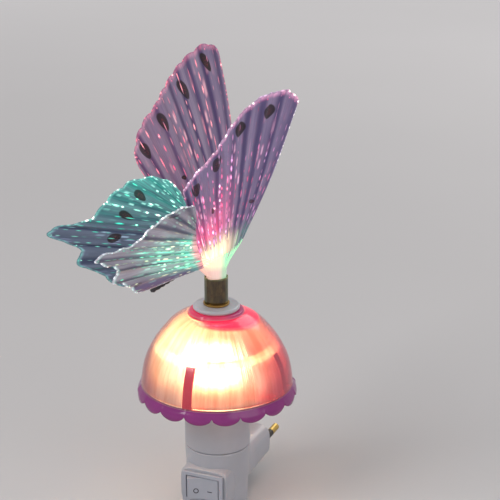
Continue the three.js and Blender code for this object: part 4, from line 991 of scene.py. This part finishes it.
# Film: a dark sheet wound a little more than once round the bundle, with a painted glow along its edges and
# top
def film_paint():
    paint = Paint("film")
    place = paint.place()
    x, y, z = paint.apart(place)
    cloud = paint.noise(paint.joined(x, y, z * 0.5), 420, 4, 0.65)
    colour = paint.ramp(cloud, [(0.3, rgb(44, 32, 16)), (0.55, rgb(78, 60, 28)), (0.8, rgb(104, 88, 44))])
    x, y, z = paint.from_axis(place)
    right = toward(RIGHT, x, y)
    # Painted glow: green light along the film's left and right edges and yellower light at its top
    painted_side_glow = right.span(-4.2, -5.7) + right.span(4.2, 5.7)
    top = z.span(FILM_TOP - 1.7, FILM_TOP)
    return paint.surface(
        colour, 0.25 + cloud * 0.25, cloud, 0.12, glow=paint.mix(top, rgb(44, 110, 66), rgb(206, 214, 130)),
        strength=painted_side_glow * 0.13 + top * 0.12, Coat_Weight=0.35, Coat_Roughness=0.15,
    )


def make_film():
    turns, start, radius, spread, thick, skewed = 1.12, math.radians(205), 5.74, 0.22, 0.2, 0.3
    rows, steps = 12, 150
    t = np.linspace(0, 1, steps)
    turn = t * turns * 2 * math.pi + start
    points = []
    for extra in (0.0, thick):
        for k, height in enumerate(np.linspace(FILM_LOW, FILM_TOP, rows)):
            skew = skewed * (np.sin(turn * 1.3) * (k / (rows - 1)) ** 3 - (k == rows - 1))
            points.append(about_axis(radius + spread * t + extra, turn, height + skew))
    shift = rows * steps
    grid = np.arange(shift).reshape(rows, steps)
    border = [*grid[0], *grid[1:, -1], *grid[-1, -2::-1], *grid[-2:0:-1, 0]]
    faces = [face[::-1] for face in grid_faces(rows, steps)] + grid_faces(rows, steps, start=shift)
    faces += [(a, b, b + shift, a + shift) for a, b in zip(border, border[1:] + border[:1])]
    points = np.concatenate(points)
    piece("film_sheet", points, faces, "butterfly", ["film_wrap"], film_paint())


make_film()


# Body: ribbed abdomen, furry thorax and head along the body's line
def black_paint(name, coarse):
    paint = Paint(name)
    place = paint.place()
    fuzz = paint.noise(place, coarse, 4, 0.7)
    cloud = paint.noise(place, 200, 2)
    colour = paint.ramp(fuzz, [(0.3, rgb(14, 12, 16)), (0.7, rgb(46, 40, 50))])
    return paint.surface(colour, 0.55 + cloud * 0.3, fuzz, 0.25, Sheen_Weight=0.4)


def make_body():
    sides, ribs, abdomen = 28, 9, 25.0
    turn = full_turn(sides)[:, None]
    round_body = np.cos(turn) * SIDEWAYS + np.sin(turn) * UPWARDS
    steps, fine = np.linspace(0, 1, 121), np.linspace(0.02, 0.98, 30)
    rib = 1.15 + 0.35 * np.abs(np.sin(math.pi * ribs * steps)) ** 0.7
    taper = np.minimum(1, np.minimum(0.55 + steps * 9, 0.7 + (1 - steps) * 9))
    for node, look, coarse, radii, places in (
        ("abdomen", "ribs", 900, rib * taper, abdomen * (steps - 1) - 8.3),
        ("thorax", "fur", 1400, 2.2 * np.sin(math.pi * fine) ** 0.45, 20 * fine - 8),
        ("head", "round", 1400, 2.0 * np.sin(math.pi * fine ** 0.8) ** 0.5, 8 * fine + 12.3),
    ):
        rings = [BODY + FORWARD * place + radius * round_body for radius, place in zip(radii, places)]
        faces = capped_faces(len(rings), sides)
        points, material = np.concatenate(rings), black_paint(look, coarse)
        piece(f"{node}_{look}", points, faces, "butterfly", [node], material)


make_body()


# Switch marks: a ring for off at the left and a bar for on at the right, inked into the rocker's faces
def make_marks():
    ink = plastic("mark_ink", rgb(70, 66, 74), 0.5, grain=0.01)
    throw = facet = math.radians(10)
    pivot = np.array([0.0, AXIS_Y - 17.9, -1.5])
    cosine, sine = math.cos(throw), math.sin(throw)
    turn = np.array([[cosine, -sine, 0], [sine, cosine, 0], [0, 0, 1.0]])
    middle, out, drop, under, over = 3.7, 2.05, 1.2, -0.1, 0.07
    ring_out, ring_in, bar_half, sides = 1.45, 0.95, (1.3, 0.24), 40
    circle = np.stack([np.cos(full_turn(sides)), np.sin(full_turn(sides))], -1)
    outer, inner, bar = circle * ring_out, circle * ring_in, np.array(SQUARE) * bar_half
    for name, side, loops, faces in (
        ("off", -1, ((outer, under), (outer, over), (inner, over), (inner, under)), looped_faces(4, sides)),
        ("on", 1, ((bar, under), (bar, over)), capped_faces(2, 4)),
    ):
        flat = np.concatenate([np.c_[loop, np.full(len(loop), height)] for loop, height in loops])
        across = side * middle + flat[:, 0]
        depth = -out - np.abs(across) * math.tan(facet) - flat[:, 2]
        points = np.stack([across, depth, flat[:, 1] - drop], -1) @ turn.T + pivot
        piece(f"mark_{name}", points, faces, "rocker", (), ink, smooth=False)


make_marks()

# Materials of the pieces that keep the model's own shape: by slot, and two by node
BY_SLOT = {
    # Painted shade: the white housing and switch plastics are greyer than white, standing in for dim light
    "body_white": plastic(
        "body_white", rgb(170, 172, 180), 0.34, mottle=0.05, Coat_Weight=0.25, Coat_Roughness=0.15,
    ),
    "switch_white": plastic(
        "switch_white", rgb(164, 167, 177), 0.3, grain=0.02, mottle=0.05,
        Coat_Weight=0.2, Coat_Roughness=0.12,
    ),
    "inner_white": plastic("inner_white", rgb(206, 200, 188), 0.5),
    # Painted glow: the collar gives off a faint pink light of its own
    "collar_white": plastic(
        "collar_white", rgb(190, 194, 198), 0.3, mottle=0.06, glow=rgb(240, 190, 210), strength=0.03,
        Subsurface_Weight=0.2, Subsurface_Scale=0.002,
    ),
    "brass": metal("brass", rgb(214, 178, 96), 0.3),
    "steel": metal("steel", rgb(196, 198, 202), 0.32),
    "dark_plastic": plastic("dark_plastic", rgb(40, 34, 28), 0.45),
    "wire_brown": plastic("wire_brown", rgb(110, 66, 44), 0.5),
    "wire_blue": plastic("wire_blue", rgb(60, 84, 150), 0.5),
    "frosted": plastic("bulb_glow", rgb(255, 246, 230), 0.4, glow=rgb(255, 232, 190), strength=11.5),
}
for slot, colour, glow in (
    ("led_red", rgb(255, 80, 80), rgb(255, 60, 60)), ("led_green", rgb(90, 255, 150), rgb(60, 255, 130)),
    ("led_blue", rgb(90, 120, 255), rgb(70, 110, 255)), ("led_warm", rgb(255, 226, 170), rgb(255, 220, 150)),
):
    BY_SLOT[slot] = plastic(slot, colour, 0.2, glow=glow, strength=4.0)
BY_NODE = {
    "ferrule": metal("ferrule_brass", rgb(190, 150, 84), 0.32),
    # Painted glow: the carrier gives off pink light of its own
    "shade_carrier": plastic("carrier_pink", rgb(218, 76, 108), 0.4, glow=rgb(214, 66, 100), strength=0.2),
}

# Edge radii of the kept nodes whose edges show
EDGES = {
    "lower_housing": 0.35, "upper_sleeve": 0.2, "switch_frame": 0.3, "rocker": 0.3, "base_cap": 0.2,
    "plug_back_plate": 0.2, "top_collar": 0.25, "ferrule": 0.1, "shade_carrier": 0.2, "collar_nut": 0.2,
}


# Nodes that smooth a kept piece: corners merged, flat shading only across sharp edges
def soften_group():
    group = bpy.data.node_groups.new("soften", "GeometryNodeTree")
    for direction in ("INPUT", "OUTPUT"):
        group.interface.new_socket("Geometry", in_out=direction, socket_type="NodeSocketGeometry")
    add, link = group.nodes.new, group.links.new
    start, end = add("NodeGroupInput"), add("NodeGroupOutput")
    merge = add("GeometryNodeMergeByDistance")
    merge.inputs["Distance"].default_value = 0.002 * MM
    angle = add("GeometryNodeInputMeshEdgeAngle")
    sharp = add("FunctionNodeCompare")
    sharp.data_type, sharp.operation = "FLOAT", "GREATER_THAN"
    sharp.inputs[1].default_value = math.radians(26)
    normal = add("GeometryNodeSetMeshNormal")
    normal.mode = "SHARPNESS"
    link(angle.outputs[0], sharp.inputs[0])
    link(start.outputs[0], merge.inputs[0])
    link(merge.outputs[0], normal.inputs[0])
    link(sharp.outputs[0], normal.inputs["Edge Sharpness"])
    link(normal.outputs[0], end.inputs[0])
    return group


def dress_kept_nodes():
    group = soften_group()
    for row in frame["record"]["subparts"]:
        node = frame["nodes"][row["node"]]
        if node.hide_render:
            continue
        node.data.materials.clear()
        node.data.materials.append(BY_NODE.get(node.name) or BY_SLOT[row["material_slot"]])
        soften = node.modifiers.new("soften", "NODES")
        soften.node_group = group
        if node.name in EDGES:
            bevel = node.modifiers.new("edges", "BEVEL")
            bevel.width, bevel.segments = EDGES[node.name] * MM, 2
            bevel.angle_limit = math.radians(32)


dress_kept_nodes()


# Rays that show the background: straight from the camera, or by way of gloss or glass
def seen_rays(paint):
    path = paint.add("LightPath", {})
    seen = Value(paint, path.outputs["Is Camera Ray"])
    for kind in ("Is Glossy Ray", "Is Transmission Ray"):
        seen = paint.math("MAXIMUM", seen, Value(paint, path.outputs[kind]))
    return seen


# Floor, soft lamps and an even pale world
def make_stage():
    paint = Paint("floor")
    place = paint.place()
    x, y, _ = paint.apart(place)
    tone = paint.mix(paint.noise(place, 3, 2), rgb(196, 193, 192), rgb(202, 199, 198))
    material = paint.surface(
        tone, 0.75, paint.noise(place, 500, 2), 0.02, glow=rgb(198, 196, 196),
        strength=paint.distance(x, y).span(0.3, 2.4) * seen_rays(paint) * 0.56,
    )
    wide, low = 12000.0, cad_box[0].z / MM - 0.2
    floor = solid("floor", [(x * wide, y * wide, low) for x, y in SQUARE], [range(4)])
    floor.data.materials.append(material)
    for name, where, size, power in (
        ("key", (-0.75, -1.15, 1.25), 0.9, 15.0),
        ("fill", (1.25, -0.7, 0.7), 1.1, 5.0),
        ("back", (0.3, 1.2, 1.1), 0.9, 7.0),
    ):
        data = bpy.data.lights.new(name, "AREA")
        data.shape, data.size, data.energy = "SQUARE", size, power
        lamp = linked(name, data)
        lamp.location = where
        lamp.rotation_euler = facing(Vector((0, AXIS_Y * MM, 0.1)) - Vector(where))
    sky = Paint("world", bpy.data.worlds)
    light = sky.value("Background", {0: rgb(214, 214, 218), 1: 0.55})
    backdrop = sky.value("Background", {0: rgb(194, 192, 193)})
    both = sky.value("MixShader", {0: seen_rays(sky), 1: light, 2: backdrop})
    sky.add("OutputWorld", {0: both})
    scene.world = sky.owner


make_stage()
scene.view_settings.view_transform = "Standard"
